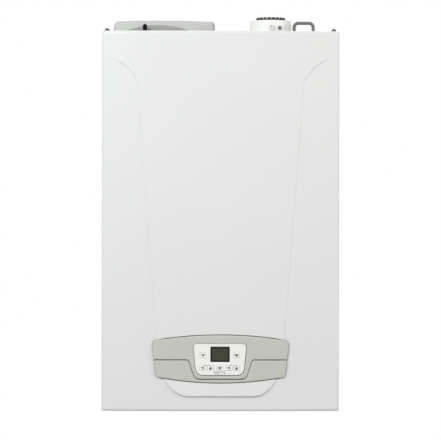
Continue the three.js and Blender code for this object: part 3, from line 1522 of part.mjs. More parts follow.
function reliefValveKnob() {
  const back = -manifoldFront + reliefLength + seatGap;
  return flutedKnob(back, back + reliefKnobDepth, towardsFront, [reliefX, 0, reliefZ]);
}

const fillingKnobTop = 42;
const fillingKnobHeight = 18;

function fillingKnob() {
  const at = [fillingX, manifoldY, 0];
  const knob = flutedKnob(fillingKnobTop - fillingKnobHeight, fillingKnobTop, alongZ, at);
  return join(knob, rod(fillingStem, fillingKnobTop - fillingStem, manifoldLow - seatGap, smallSides,
    alongZ, at));
}

const trapWall = 2;
const trapEnd = 20;
const trapNipple = 3.2;
const trapShoulder = 12;

function condensateTrap() {
  const low = panelFloor + seatGap;
  return turned([
    [0, low + trapWall], [trapOutlet - trapWall, low + trapWall], [trapOutlet - trapWall, trapEnd],
    [trapOutlet, trapEnd], [trapOutlet, low], [trapRadius, low], [trapRadius, trapTop - trapShoulder],
    [trapRadius - trapShoulder / 3, trapTop], [trapNipple, trapTop], [trapNipple, trapTop + nippleHeight],
    [0, trapTop + nippleHeight],
  ], roundSides, alongZ, [trapX, trapY, 0]);
}

const gaugeFlange = 4;
const gaugeFlangeThickness = 2.2;
const gaugeDialInset = 3;
const gaugePin = 0.8;
const needleLength = 13;
const needleWidth = 2;
const needleThickness = 0.7;
const needleHub = 2.6;

function pressureGauge() {
  const face = bottomPanelHeight - seatGap - gaugeFlangeThickness;
  const dial = face + gaugeDialInset;
  const pinEnd = dial - gaugeDialInset / 2 - needleThickness;
  return turned([
    [0, pinEnd], [gaugePin, pinEnd], [gaugePin, dial], [gaugeRadius - gaugeDialInset, dial],
    [gaugeRadius - gaugeDialInset, face], [gaugeRadius + gaugeFlange, face],
    [gaugeRadius + gaugeFlange, face + gaugeFlangeThickness], [gaugeRadius, face + gaugeFlangeThickness],
    [gaugeRadius, face + gaugeDepth], [0, face + gaugeDepth],
  ], roundSides, alongZ, [gaugeX, gaugeY, 0]);
}

function gaugeNeedle() {
  const dial = bottomPanelHeight - seatGap - gaugeFlangeThickness + gaugeDialInset;
  const [high, low] = [dial - seatGap, dial - seatGap - needleThickness];
  const hub = rod(needleHub, low, high, mediumSides, alongZ, [gaugeX, gaugeY, 0]);
  const pointer = block(gaugeX - needleWidth / 2, gaugeX + needleWidth / 2, gaugeY - needleHub,
    gaugeY + needleLength, low, high);
  const pinRoom = rod(gaugePin + seatGap, low - overrun, high + overrun, smallSides, alongZ,
    [gaugeX, gaugeY, 0]);
  return cut(join(hub, pointer), pinRoom);
}

add('hanging_rail', hangingRail(), 'zincSteel');
add('back_panel', backPanel(), 'zincSteel');
add('left_side_panel', sidePanel(-1), 'whiteEnamel');
add('right_side_panel', sidePanel(1), 'whiteEnamel');
add('top_panel', topPanel(), 'whiteEnamel');
add('bottom_panel', bottomPanel(), 'zincSteel');
add('front_cover', frontCover(), 'whiteEnamel');
add('cover_seal', coverSeal(), 'rubber');
add('cover_screw_left', coverScrew(-1), 'darkZinc');
add('cover_screw_right', coverScrew(1), 'darkZinc');
add('control_fascia', controlFascia(), 'greyPlastic');
add('fascia_lower_trim', fasciaLowerTrim(), 'greyPlastic');
add('keypad_plate', keypadPlate(), 'whitePlastic');
add('display_window', displayWindow(), 'glass');
for (const [name, x, z] of keys) add(name, keyCap(x, z), 'whitePlastic');
add('control_housing', controlHousing(), 'darkPlastic');
add('control_board', controlBoard(), 'circuit');
add('control_hinge_rod', hingeRod(), 'zincSteel');
add('hinge_bracket_left', hingeBracket(-1), 'zincSteel');
add('hinge_bracket_right', hingeBracket(1), 'zincSteel');
add('exchanger_housing', exchangerHousing(), 'castAluminium');
add('exchanger_coil', exchangerCoil(), 'stainless');
add('burner', burnerTube(), 'stainless');
add('burner_door', burnerDoor(), 'castAluminium');
add('ignition_electrode', ignitionElectrode(), 'whitePlastic');
add('fan_housing', fanHousing(), 'castAluminium');
add('fan_impeller', fanImpeller(), 'castAluminium');
add('fan_motor', fanMotor(), 'blackPlastic');
add('gas_mixer', gasMixer(), 'castAluminium');
add('air_intake_pipe', airIntakePipe(), 'blackPlastic');
add('gas_valve', gasValve(), 'castAluminium');
add('gas_pipe', gasPipe(), 'copper');
add('flue_elbow', flueElbow(), 'whitePlastic');
add('flue_turret', flueTurret(), 'whitePlastic');
add('flue_seal', flueSeal(), 'rubber');
add('air_test_cap', testCap(-1), 'greyPlastic');
add('flue_test_cap', testCap(1), 'darkPlastic');
add('vent_hose', ventHose(), 'darkPlastic');
add('expansion_vessel', expansionVessel(), 'greyEnamel');
add('vessel_pipe', vesselPipe(), 'copper');
add('charging_valve', chargingValve(), 'brass');
add('valve_cap', valveCap(), 'blackPlastic');
add('flow_manifold', flowManifold(), 'brass');
add('return_manifold', returnManifold(), 'brass');
add('pump_motor', pumpMotor(), 'blackPlastic');
add('plate_exchanger', plateExchanger(), 'stainless');
add('diverter_motor', diverterMotor(), 'blackPlastic');
add('flow_pipe', flowPipe(), 'copper');
add('return_pipe', returnPipe(), 'copper');
add('condensate_trap', condensateTrap(), 'whitePlastic');
add('pressure_gauge', pressureGauge(), 'blackPlastic');
add('gauge_needle', gaugeNeedle(), 'redPlastic');
add('relief_valve_knob', reliefValveKnob(), 'redPlastic');
add('filling_knob', fillingKnob(), 'blackPlastic');

export default boiler;
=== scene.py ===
# Wall-hung condensing gas boiler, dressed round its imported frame: metres, front towards -Y, +Z up.
import json
import math

import bmesh
import bpy
import numpy as np
from mathutils import Matrix, Vector
from mathutils.geometry import delaunay_2d_cdt

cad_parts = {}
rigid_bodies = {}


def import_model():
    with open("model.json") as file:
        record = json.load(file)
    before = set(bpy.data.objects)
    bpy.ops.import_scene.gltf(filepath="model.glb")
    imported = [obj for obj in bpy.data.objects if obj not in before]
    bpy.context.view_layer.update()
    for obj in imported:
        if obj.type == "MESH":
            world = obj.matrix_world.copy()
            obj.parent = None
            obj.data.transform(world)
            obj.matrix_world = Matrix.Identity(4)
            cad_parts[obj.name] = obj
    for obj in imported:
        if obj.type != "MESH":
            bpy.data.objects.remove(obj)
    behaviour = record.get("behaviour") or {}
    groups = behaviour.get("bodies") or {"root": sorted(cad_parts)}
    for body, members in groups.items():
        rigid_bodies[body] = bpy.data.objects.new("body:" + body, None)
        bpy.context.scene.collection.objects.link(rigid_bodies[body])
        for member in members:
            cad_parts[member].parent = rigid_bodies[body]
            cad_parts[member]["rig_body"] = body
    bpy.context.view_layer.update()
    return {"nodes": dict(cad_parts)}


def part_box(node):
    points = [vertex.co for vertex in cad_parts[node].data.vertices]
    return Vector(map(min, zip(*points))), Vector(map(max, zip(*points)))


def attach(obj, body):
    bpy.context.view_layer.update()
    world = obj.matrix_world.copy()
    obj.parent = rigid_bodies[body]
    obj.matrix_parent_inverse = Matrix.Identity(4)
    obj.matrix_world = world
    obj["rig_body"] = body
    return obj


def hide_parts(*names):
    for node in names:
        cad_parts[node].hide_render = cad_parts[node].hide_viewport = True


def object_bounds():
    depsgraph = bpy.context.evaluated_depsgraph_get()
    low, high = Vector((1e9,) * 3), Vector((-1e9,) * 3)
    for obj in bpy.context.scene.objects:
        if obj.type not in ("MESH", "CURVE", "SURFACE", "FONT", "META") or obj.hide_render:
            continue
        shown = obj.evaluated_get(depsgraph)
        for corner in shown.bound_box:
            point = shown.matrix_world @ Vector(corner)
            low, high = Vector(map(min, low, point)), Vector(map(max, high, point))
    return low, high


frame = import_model()
nodes = frame["nodes"]

# Camera
# A long lens almost straight in front of the cover, a little to the left and a little below the middle,
# so that the left edge just turns and the pieces on top stand clear of the cover's upper edge.
image_width = 441
front_low, front_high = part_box("front_cover")
metres_per_pixel = 0.001889
view_distance = 4.7
view_left = 0.1
view_drop = 0.02
view_roll = 0.12
sensor = 36.0
aim_x, aim_z = -0.0004, -0.2964
aim = Vector((aim_x, front_low.y, aim_z))
eye = aim + Vector((-view_left, -view_distance, -view_drop))
camera_data = bpy.data.cameras.new("camera")
camera_data.sensor_width = sensor
camera_data.lens = sensor * view_distance / (image_width * metres_per_pixel)
camera_data.clip_end = 100
camera = bpy.data.objects.new("camera", camera_data)
camera.location = eye
camera.rotation_euler = (aim - eye).to_track_quat("-Z", "Y").to_euler()
camera.rotation_euler.rotate_axis("Z", math.radians(view_roll))
bpy.context.scene.collection.objects.link(camera)
bpy.context.scene.camera = camera


# Front cover
# One sheet of 1.2 mm deep-drawn steel, bowed, with a raised field that ends in a chin under the controls,
# rolled edges, a return lip behind and a cut-out for the control unit. White powder enamel, baked on.
def linear(hex_colour):
    """An sRGB hex colour as the linear values that a shader takes."""
    parts = [int(hex_colour[i:i + 2], 16) / 255 for i in (0, 2, 4)]
    return [c / 12.92 if c <= 0.04045 else ((c + 0.055) / 1.055) ** 2.4 for c in parts] + [1.0]


def add_node(tree, kind, settings, links):
    """A node with its own settings or unlinked inputs, and the outputs that feed its other inputs."""
    node = tree.nodes.new(kind)
    for name, value in settings.items():
        if hasattr(node, str(name)):
            setattr(node, name, value)
        else:
            node.inputs[name].default_value = value
    for name, source in links.items():
        tree.links.new(source, node.inputs[name])
    return node


def surface_finish(name, tones, blotch_mm, gloss, grain_mm, relief_mm, stretch=(1, 1, 1), **sockets):
    """A finish of two near tones in soft blotches, a gloss that drifts with them, and a fine raised grain."""
    made = bpy.data.materials.new(name)
    made.use_nodes = True
    tree = made.node_tree
    shader = tree.nodes["Principled BSDF"]
    for socket, value in sockets.items():
        shader.inputs[socket.replace("_", " ").title().replace("Ior", "IOR")].default_value = value
    place = add_node(tree, "ShaderNodeTexCoord", {}, {}).outputs["Object"]
    blotch = add_node(tree, "ShaderNodeTexNoise", {"Scale": 1000 / blotch_mm, "Detail": 3.0},
                      {"Vector": place})
    tint = {"data_type": "RGBA", 6: linear(tones[0]), 7: linear(tones[1])}
    colour = add_node(tree, "ShaderNodeMix", tint, {0: blotch.outputs["Fac"]})
    dull = add_node(tree, "ShaderNodeMapRange", {"To Min": gloss[0], "To Max": gloss[1]},
                    {"Value": blotch.outputs["Fac"]})
    run = add_node(tree, "ShaderNodeMapping", {"Scale": stretch}, {"Vector": place})
    grain = add_node(tree, "ShaderNodeTexNoise", {"Scale": 1000 / grain_mm, "Detail": 2.0},
                     {"Vector": run.outputs["Vector"]})
    bump = add_node(tree, "ShaderNodeBump", {"Distance": relief_mm / 1000}, {"Height": grain.outputs["Fac"]})
    tree.links.new(colour.outputs[2], shader.inputs["Base Color"])
    tree.links.new(dull.outputs["Result"], shader.inputs["Roughness"])
    tree.links.new(bump.outputs["Normal"], shader.inputs["Normal"])
    return made


# Powder enamel flows out to a faint orange peel, drawn 6 mm wide so that it shows; the gloss is soft.
enamel = surface_finish("baked_powder_enamel_on_steel", ("E4E5E4", "E6E7E6"), 160.0, (0.3, 0.4), 6.0, 0.012,
                        coat_weight=0.25, coat_roughness=0.08)

half_width = front_high.x
casing_height = front_high.z - front_low.z
cover_sheet, cover_bow, cover_edge, cover_lip = 0.0012, 0.008, 0.005, 0.0092
field_rise, crease_width = 0.0016, 0.0028
crease_lines = (-0.5, -0.3, -0.15, 0, 0.15, 0.3, 0.5)
grid_step, edge_steps = 0.011, 5
rim_radius, rim_steps = 0.0007, 3
cutout_gap, side_gap_share = 0.0011, 0.25
kept_digits = 7
chin_rise, chin_high = 0.0032, 0.062
# The field's edge dies out between these distances from the middle, in the cover's upper corners.
fade_start, fade_end = 0.186, 0.214
# Loose grid points keep clear of the creases, the cut-out and the edges by these shares of their widths.
crease_room, rim_room, edge_room = 1.4, 0.4, 1.5


def curve_points(start, handle, end, steps):
    """Points along a quadratic curve, without its first."""
    return [tuple((1 - t) ** 2 * a + 2 * (1 - t) * t * b + t * t * c for a, b, c in zip(start, handle, end))
            for t in (i / steps for i in range(1, steps + 1))]


def mirrored(points):
    """The points, followed by their mirror images in reverse, on the other side of the middle line."""
    return points + [(-x, z) for x, z in reversed(points)]


# The raised field's edge from the cover's left side, round the neck, down to the chin's middle.
field_neck, field_band = (0.157, 0.621), 0.668
field_foot, chin_top, chin_flat = (0.122, 0.142), (0.1045, 0.0574), (0.062, 0.0282)
shoulder_share, corner_share = 0.31, 0.44
neck_shoulder = field_neck[0] + (half_width - field_neck[0]) * shoulder_share
chin_corner = chin_top[0] - (chin_top[0] - chin_flat[0]) * corner_share
right_crease = [(half_width, field_band)]
right_crease += curve_points(right_crease[0], (neck_shoulder, field_band), field_neck, 16)
right_crease += [field_foot, chin_top]
right_crease += curve_points(chin_top, (chin_corner, chin_flat[1]), chin_flat, 10)
crease_line = mirrored(right_crease)

# The fascia's outline, which the cover's cut-out follows.
fascia_top_half, fascia_foot_half, fascia_corner, foot_corner = 0.129, 0.123, 0.015, 0.011
fascia_side_top, fascia_side_foot = 0.1265, 0.0735
fascia_top, fascia_top_side, fascia_bottom, fascia_bottom_side = 0.144, 0.1354, 0.0538, 0.0634
fascia_loop = [(-(fascia_top_half - fascia_corner), fascia_top_side)]
for handle, end, steps in (
    ((-fascia_top_half, fascia_top_side), (-fascia_top_half, fascia_side_top), 8),
    ((-fascia_foot_half, fascia_side_foot), (-fascia_foot_half, fascia_side_foot), 1),
    ((-fascia_foot_half, fascia_bottom_side), (-(fascia_foot_half - foot_corner), fascia_bottom_side), 8),
    ((0, 2 * fascia_bottom - fascia_bottom_side), (fascia_foot_half - foot_corner, fascia_bottom_side), 30),
    ((fascia_foot_half, fascia_bottom_side), (fascia_foot_half, fascia_side_foot), 8),
    ((fascia_top_half, fascia_side_top), (fascia_top_half, fascia_side_top), 1),
    ((fascia_top_half, fascia_top_side), (fascia_top_half - fascia_corner, fascia_top_side), 8),
    ((0, 2 * fascia_top - fascia_top_side), (-(fascia_top_half - fascia_corner), fascia_top_side), 30),
):
    fascia_loop += curve_points(fascia_loop[-1], handle, end, steps)
fascia_loop = fascia_loop[:-1]
# Beside the fascia and round its corners the joint is finer than above and below it.
side_start, side_full, side_depth_share, joint_reach = 0.108, 0.118, 0.3, 0.004
# A corner sharper than this isn't drawn out to its full point when a line is moved sideways.
mitre_limit = 0.4


def side_at(z):
    """The fascia's half width at a height between its corners."""
    share = (z - fascia_side_foot) / (fascia_side_top - fascia_side_foot)
    return fascia_foot_half + (fascia_top_half - fascia_foot_half) * share


def moved_out(loop, amount, closed=True):
    """The loop or line moved sideways by one amount; a closed loop grows."""
    points = np.array(loop)
    area = np.sum(points[:, 0] * np.roll(points[:, 1], -1) - np.roll(points[:, 0], -1) * points[:, 1])
    turn = 1.0 if area > 0 or not closed else -1.0
    result = []
    count = len(points)
    for i in range(count):
        before = points[i] - points[i - 1] if closed or i else points[1] - points[0]
        after = points[(i + 1) % count] - points[i] if closed or i < count - 1 else before
        a = before / max(np.linalg.norm(before), 1e-9)
        b = after / max(np.linalg.norm(after), 1e-9)
        normal_a, normal_b = np.array([a[1], -a[0]]), np.array([b[1], -b[0]])
        middle = normal_a + normal_b
        middle /= max(np.linalg.norm(middle), 1e-9)
        result.append(tuple(points[i] + turn * amount * middle / max(middle @ normal_a, mitre_limit)))
    return result


def cut_up(line, step, closed):
    """The line with its long stretches cut to equal steps."""
    result = []
    ends = list(zip(line, line[1:] + line[:1])) if closed else list(zip(line, line[1:]))
    for (x0, z0), (x1, z1) in ends:
        count = max(1, math.ceil(math.hypot(x1 - x0, z1 - z0) / step))
        result += [(x0 + (x1 - x0) * i / count, z0 + (z1 - z0) * i / count) for i in range(count)]
    return result if closed else result + [line[-1]]


def distances(points, line, closed):
    """Each point's distance to the line."""
    a = np.array(line)
    b = np.roll(a, -1, axis=0) if closed else a[1:]
    a = a if closed else a[:-1]
    best = np.full(len(points), 1e9)
    for start, end in zip(a, b):
        run = end - start
        share = np.clip(((points - start) @ run) / max(run @ run, 1e-12), 0, 1)
        best = np.minimum(best, np.linalg.norm(points - start - share[:, None] * run, axis=1))
    return best


def inside(points, loop):
    """Which points lie inside the closed loop."""
    found = np.zeros(len(points), bool)
    for (x0, z0), (x1, z1) in zip(loop, loop[1:] + loop[:1]):
        if z0 == z1:
            continue
        crosses = (points[:, 1] > z0) != (points[:, 1] > z1)
        found ^= crosses & (points[:, 0] < (x1 - x0) * (points[:, 1] - z0) / (z1 - z0) + x0)
    return found


def meshed(lines, loose, keep):
    """Triangles over lines, closed or open, and loose points: the places and the faces that keep allows."""
    places, edges = [], []
    for line, closed in lines:
        first = len(places)
        places += line
        edges += [(first + i, first + i + 1) for i in range(len(line) - 1)]
        if closed:
            edges.append((first + len(line) - 1, first))
    places += loose
    flat = delaunay_2d_cdt([Vector(place) for place in places], edges, [], 0, 1e-6)
    points = np.array([tuple(v) for v in flat[0]])
    middles = np.array([points[list(face)].mean(axis=0) for face in flat[2]])
    chosen = keep(middles)
    return points, [face for face, wanted in zip(flat[2], chosen) if wanted]


def rounding(distance, radius):
    """How far a face drops back near its edge, as a quarter circle."""
    near = np.clip(radius - distance, 0, radius)
    return radius - np.sqrt(radius ** 2 - near ** 2)


def quarter(i, steps):
    """How far in line i of a rolled edge's lines lies, as a share of the edge's radius."""
    return 1 - math.cos(math.pi / 2 * i / steps)


def smooth(value, low, high):
    """A soft step from 0 at low to 1 at high."""
    t = np.clip((value - low) / (high - low), 0, 1)
    return t * t * (3 - 2 * t)


def edge_share(at):
    """How deep the edges along the joint round the fascia are rolled: fully, but less at its sides."""
    beside = smooth(np.abs(at[:, 0]), side_start, side_full)
    near = 1 - smooth(distances(at, fascia_loop, True), joint_reach, joint_reach * 1.5)
    return 1 - (1 - side_depth_share) * beside * near


def new_piece(name, mesh, material):
    """An object for a mesh, in the row frame."""
    piece = bpy.data.objects.new(name, mesh)
    bpy.context.scene.collection.objects.link(piece)
    mesh.materials.clear()
    mesh.materials.append(material)
    return piece


def built(name, build, material):
    """An object for a finished bmesh, which is used up."""
    mesh = bpy.data.meshes.new(name)
    build.to_mesh(mesh)
    build.free()
    return new_piece(name, mesh, material)


def fitted(piece, body, node=None, crease=35):
    """The piece, smooth up to the crease angle, on its body; it stands for the node named."""
    mesh = piece.data
    mesh.polygons.foreach_set("use_smooth", [True] * len(mesh.polygons))
    mesh.set_sharp_from_angle(angle=math.radians(crease))
    weights = piece.modifiers.new("weights", "WEIGHTED_NORMAL")
    weights.keep_sharp = True
    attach(piece, body)
    if node:
        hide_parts(node)
    return piece


def settled(piece):
    """The piece's mesh with its modifiers applied."""
    bpy.context.view_layer.update()
    evaluated = piece.evaluated_get(bpy.context.evaluated_depsgraph_get())
    mesh = bpy.data.meshes.new_from_object(evaluated)
    piece.modifiers.clear()
    piece.data = mesh
    return piece


def boxed(name, low, high, material):
    """A closed block between two corners."""
    build = bmesh.new()
    bmesh.ops.create_cube(build, size=1)
    for vert in build.verts:
        vert.co = Vector([l + (h - l) * (c + 0.5) for l, h, c in zip(low, high, vert.co)])
    return built(name, build, material)


def carved(piece, tools):
    """The piece with the tools cut out of it; the tools are used up."""
    for tool in tools:
        carve = piece.modifiers.new("carve", "BOOLEAN")
        carve.object = tool
        carve.operation = "DIFFERENCE"
        settled(piece)
        bpy.data.objects.remove(tool)
    return piece


def ordered(mesh):
    """The mesh in a fixed order and rounded, as a boolean's order and last digits may change on each run."""
    places = [tuple(round(c, kept_digits) for c in vert.co) for vert in mesh.vertices]
    order = sorted(range(len(places)), key=lambda i: places[i])
    rank = {old: new for new, old in enumerate(order)}
    loops = []
    for face in mesh.polygons:
        loop = [rank[i] for i in face.vertices]
        first = loop.index(min(loop))
        loops.append(loop[first:] + loop[:first])
    result = bpy.data.meshes.new(mesh.name)
    result.from_pydata([places[i] for i in order], [], sorted(loops))
    return result


crease_loop = crease_line + [(-half_width, casing_height), (half_width, casing_height)]
cutout = []
for place, grown in zip(fascia_loop, moved_out(fascia_loop, cutout_gap)):
    share = 1 - (1 - side_gap_share) * float(smooth(abs(place[0]), side_start, side_full))
    cutout.append(tuple(p + (g - p) * share for p, g in zip(place, grown)))
cover_lines = []
for i in range(edge_steps + 1):
    inset = cover_edge * quarter(i, edge_steps)
    rectangle = [(x * (half_width - inset), inset + z * (casing_height - 2 * inset))
                 for x, z in ((-1, 0), (1, 0), (1, 1), (-1, 1))]
    cover_lines.append((cut_up(rectangle, grid_step, True), True))
open_crease = [(x, z) for x, z in crease_line if abs(x) < half_width - cover_edge]
for share in crease_lines:
    side_line = moved_out(open_crease, share * crease_width, closed=False)
    cover_lines.append((cut_up(side_line, grid_step, False), False))
cover_lines += [(moved_out(cutout, rim_radius * quarter(i, rim_steps)), True) for i in range(rim_steps + 1)]
columns, rows = round(2 * half_width / grid_step), round(casing_height / grid_step)
loose = np.array([((2 * i / columns - 1) * half_width, casing_height * j / rows)
                  for i in range(1, columns) for j in range(1, rows)])
clear = distances(loose, open_crease, False) > crease_width * crease_room
clear &= distances(loose, cutout, True) > grid_step * rim_room
clear &= (half_width - np.abs(loose[:, 0]) > cover_edge * edge_room)
clear &= (np.minimum(loose[:, 1], casing_height - loose[:, 1]) > cover_edge * edge_room)
points, faces = meshed(cover_lines, [tuple(p) for p in loose[clear]], lambda at: ~inside(at, cutout))


def field_height(at):
    """The raised field's height at each place, fading out towards the cover's upper corners."""
    signed = distances(at, crease_line, False) * np.where(inside(at, crease_loop), 1, -1)
    fade = 1 - smooth(np.abs(at[:, 0]), fade_start, fade_end)
    chin = chin_rise * np.clip((chin_high - at[:, 1]) / (chin_high - chin_flat[1]), 0, 1)
    return (field_rise + chin) * smooth(signed, -crease_width / 2, crease_width / 2) * fade


def cover_depth(at):
    """The cover's face, in y, at each place across it and up from its lower edge."""
    sides = rounding(half_width - np.abs(at[:, 0]), cover_edge)
    ends = rounding(np.minimum(at[:, 1], casing_height - at[:, 1]), cover_edge)
    rim = rounding(distances(at, cutout, True), rim_radius) * edge_share(at)
    flat = front_low.y + field_rise + cover_bow * (at[:, 0] / half_width) ** 2
    return flat + sides + ends + rim - field_height(at)


cover_build = bmesh.new()
front_verts = [cover_build.verts.new((x, y, z + front_low.z))
               for (x, z), y in zip(points, cover_depth(points))]
for face in faces:
    cover_build.faces.new([front_verts[i] for i in face])
outer_rim = [edge for edge in cover_build.edges if edge.is_boundary and all(
    min(half_width - abs(v.co.x), v.co.z - front_low.z, front_high.z - v.co.z) < 1e-5 for v in edge.verts)]
walls = bmesh.ops.extrude_edge_only(cover_build, edges=outer_rim)["geom"]
for vert in (v for v in walls if isinstance(v, bmesh.types.BMVert)):
    vert.co.y = front_high.y
lips = bmesh.ops.extrude_edge_only(
    cover_build, edges=[e for e in walls if isinstance(e, bmesh.types.BMEdge)])["geom"]
for vert in (v for v in lips if isinstance(v, bmesh.types.BMVert)):
    vert.co.x = max(-half_width + cover_lip, min(half_width - cover_lip, vert.co.x))
    vert.co.z = max(front_low.z + cover_lip, min(front_high.z - cover_lip, vert.co.z))
bmesh.ops.remove_doubles(cover_build, verts=cover_build.verts, dist=1e-6)
bmesh.ops.recalc_face_normals(cover_build, faces=cover_build.faces)
cover_shell = built("cover_shell", cover_build, enamel)
middle_face = min(cover_shell.data.polygons, key=lambda p: (p.center - Vector((0, front_low.y, 0))).length)
thick = cover_shell.modifiers.new("sheet", "SOLIDIFY")
thick.thickness = cover_sheet
thick.offset = -1.0 if middle_face.normal.y < 0 else 1.0
thick.use_even_offset = True
settled(cover_shell)

# The top lip is slotted from behind for the two screws, and relieved for the tabs under them.
slot_half, tab_half, tab_depth, tab_drop, overrun = 0.0026, 0.0106, 0.006, 0.0036, 0.01
inner_half = half_width - cover_sheet
for side in ("left", "right"):
    head_low, head_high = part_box("cover_screw_" + side)
    middle = (head_low + head_high) / 2
    slot = boxed("slot_tool", (middle.x - slot_half, middle.y - slot_half, front_high.z - overrun),
                 (middle.x + slot_half, front_high.y + overrun, front_high.z + overrun), enamel)
    low_x, high_x = sorted((middle.x - tab_half, middle.x + tab_half, inner_half, -inner_half))[1:3]
    tab = boxed("tab_tool", (low_x, front_high.y - tab_depth, front_high.z - tab_drop),
                (high_x, front_high.y + overrun, front_high.z - cover_sheet), enamel)
    carved(cover_shell, (slot, tab))
cover_shell.data = ordered(cover_shell.data)
cover_shell.data.materials.append(enamel)
fitted(cover_shell, "cover", "front_cover")

# Control fascia
# The grey ABS panel that closes the cover's cut-out, bowed with it: an upper plate round the keypad and a
# lower trim, parted by a fine groove. Injection moulded with a fine spark grain, clipped to the housing.
grey_abs = surface_finish("spark_grained_grey_abs", ("C5C5BD", "C8C8C0"), 60.0, (0.42, 0.52), 0.9, 0.02)
fascia_front, fascia_back = -0.3421, -0.3403
groove_gap, groove_level, groove_lean = 0.0013, 0.0964, 0.5
plate_edge, plate_step, edge_lines = 0.0022, 0.009, 5
recess_lines = (0, 0.25, 0.5, 0.75, 1)
# Loose points keep clear of a plate's rolled edges by this share of its step.
point_room = 0.3


def corner_curve(before, corner, after, reach, steps):
    """A corner between its neighbours, cut back by a reach and curved."""
    ends = []
    for other in (before, after):
        share = min(reach / max(math.dist(corner, other), 1e-9), 0.45)
        ends.append(tuple(c + (o - c) * share for c, o in zip(corner, other)))
    return [ends[0]] + curve_points(ends[0], corner, ends[1], steps)


def eased(line, radius, steps=3):
    """The open line with its corners rounded off."""
    result = [line[0]]
    for before, corner, after in zip(line, line[1:], line[2:]):
        result += corner_curve(before, corner, after, radius, steps)
    return result + [line[-1]]


def bow(x):
    """How far the bowed front falls back at each x."""
    return cover_bow * (np.asarray(x) / half_width) ** 2


def plate(name, outline, front, back, material, edge, step, holes=(), sunk=(), bowed=False, roll=None):
    """A moulded plate over an outline, with openings, rolled edges and the recesses that sunk lists."""
    loops = [outline, *holes]
    lines = []
    for i in range(edge_lines):
        inset = edge * quarter(i, edge_lines - 1)
        lines.append((cut_up(moved_out(outline, -inset), step, True), True))
        lines += [(cut_up(moved_out(hole, inset), step, True), True) for hole in holes]
    for recess in sunk:
        lines += [(cut_up(moved_out(recess["outline"], -share * recess["draft"]), step, True), True)
                  for share in recess_lines]
    spots = np.array(outline)
    low, high = spots.min(axis=0), spots.max(axis=0)
    size = high - low
    counts = [max(2, round(side / step)) for side in size]
    loose = np.array([(low[0] + size[0] * i / counts[0], low[1] + size[1] * j / counts[1])
                      for i in range(1, counts[0]) for j in range(1, counts[1])])
    near = np.min([distances(loose, loop, True) for loop in loops], axis=0)
    loose = loose[inside(loose, outline) & (near > edge + step * point_room)]

    def solid(at):
        kept = inside(at, outline)
        for hole in holes:
            kept &= ~inside(at, hole)
        return kept

    points, faces = meshed(lines, [tuple(p) for p in loose], solid)
    fall = bow(points[:, 0]) if bowed else 0
    rolled = rounding(np.min([distances(points, loop, True) for loop in loops], axis=0), edge)
    depth = front + fall + (rolled * roll(points) if roll else rolled)
    for recess in sunk:
        rim = recess["outline"]
        reach = distances(points, rim, True) * np.where(inside(points, rim), 1, -1)
        depth += recess["depth"] * smooth(reach, 0, recess["draft"])
    build = bmesh.new()
    places = [(x, z + front_low.z) for x, z in points]
    fronts = [build.verts.new((x, y, z)) for (x, z), y in zip(places, depth)]
    backs = [build.verts.new((x, back + float(bow(x)) * bowed, z)) for x, z in places]
    for face in faces:
        build.faces.new([fronts[i] for i in face])
        build.faces.new([backs[i] for i in reversed(face)])
    used = dict.fromkeys((a, b) for face in faces for a, b in zip(face, face[1:] + face[:1]))
    for a, b in used:
        if (b, a) not in used:
            build.faces.new([fronts[b], fronts[a], backs[a], backs[b]])
    bmesh.ops.delete(build, geom=[v for v in build.verts if not v.link_faces], context="VERTS")
    bmesh.ops.recalc_face_normals(build, faces=build.faces)
    return built(name, build, material)


def rounded_box(x, z, width, height, radius, steps=5):
    """A rounded rectangle round its middle."""
    loop = []
    for i, (sx, sz) in enumerate(((1, 1), (-1, 1), (-1, -1), (1, -1))):
        for k in range(steps + 1):
            turn = math.pi / 2 * (i + k / steps)
            loop.append((x + sx * (width / 2 - radius) + radius * math.cos(turn),
                         z + sz * (height / 2 - radius) + radius * math.sin(turn)))
    return loop


# The keypad's outline: a trapezium with rounded corners, larger at its foot.
keypad_x, keypad_corner, keypad_foot_corner = -0.001, 0.0085, 0.0145
keypad_top_half, keypad_top, keypad_foot_half, keypad_foot = 0.0502, 0.1276, 0.0448, 0.0687
corners = [(-keypad_top_half, keypad_top), (-keypad_foot_half, keypad_foot),
           (keypad_foot_half, keypad_foot), (keypad_top_half, keypad_top)]
keypad_loop = []
for before, corner, after in zip(corners[-1:] + corners[:-1], corners, corners[1:] + corners[:1]):
    reach = keypad_foot_corner if corner[1] == keypad_foot else keypad_corner
    keypad_loop += corner_curve(before, corner, after, reach, 8)
keypad_loop = [(x + keypad_x, z) for x, z in keypad_loop]

# The groove runs level from each side, turns down beside the keypad and passes under it.
groove_bends, groove_round = ((0.0605, groove_level), (0.0502, 0.0646), (0.0425, 0.0596)), 0.0045
groove_line = mirrored([(half_width, groove_level), *groove_bends])
groove_line = eased(groove_line[::-1], groove_round, steps=4)
upper_line = [(x + (grown_x - x) * groove_lean, grown_z) for (x, z), (grown_x, grown_z)
              in zip(groove_line, moved_out(groove_line, -groove_gap, closed=False))][1:-1]
groove_line = groove_line[1:-1]
upper_level = groove_level + groove_gap
turn = next(i for i, (x, z) in enumerate(fascia_loop) if z < groove_level)
turn_back = next(i for i, (x, z) in enumerate(fascia_loop) if x > 0 and z > upper_level)
upper_loop = fascia_loop[:turn] + [(-side_at(upper_level), upper_level)] + upper_line
upper_loop += [(side_at(upper_level), upper_level)] + fascia_loop[turn_back:]
lower_loop = [(-side_at(groove_level), groove_level)] + fascia_loop[turn:turn_back]
lower_loop += [(side_at(groove_level), groove_level)] + groove_line[::-1]
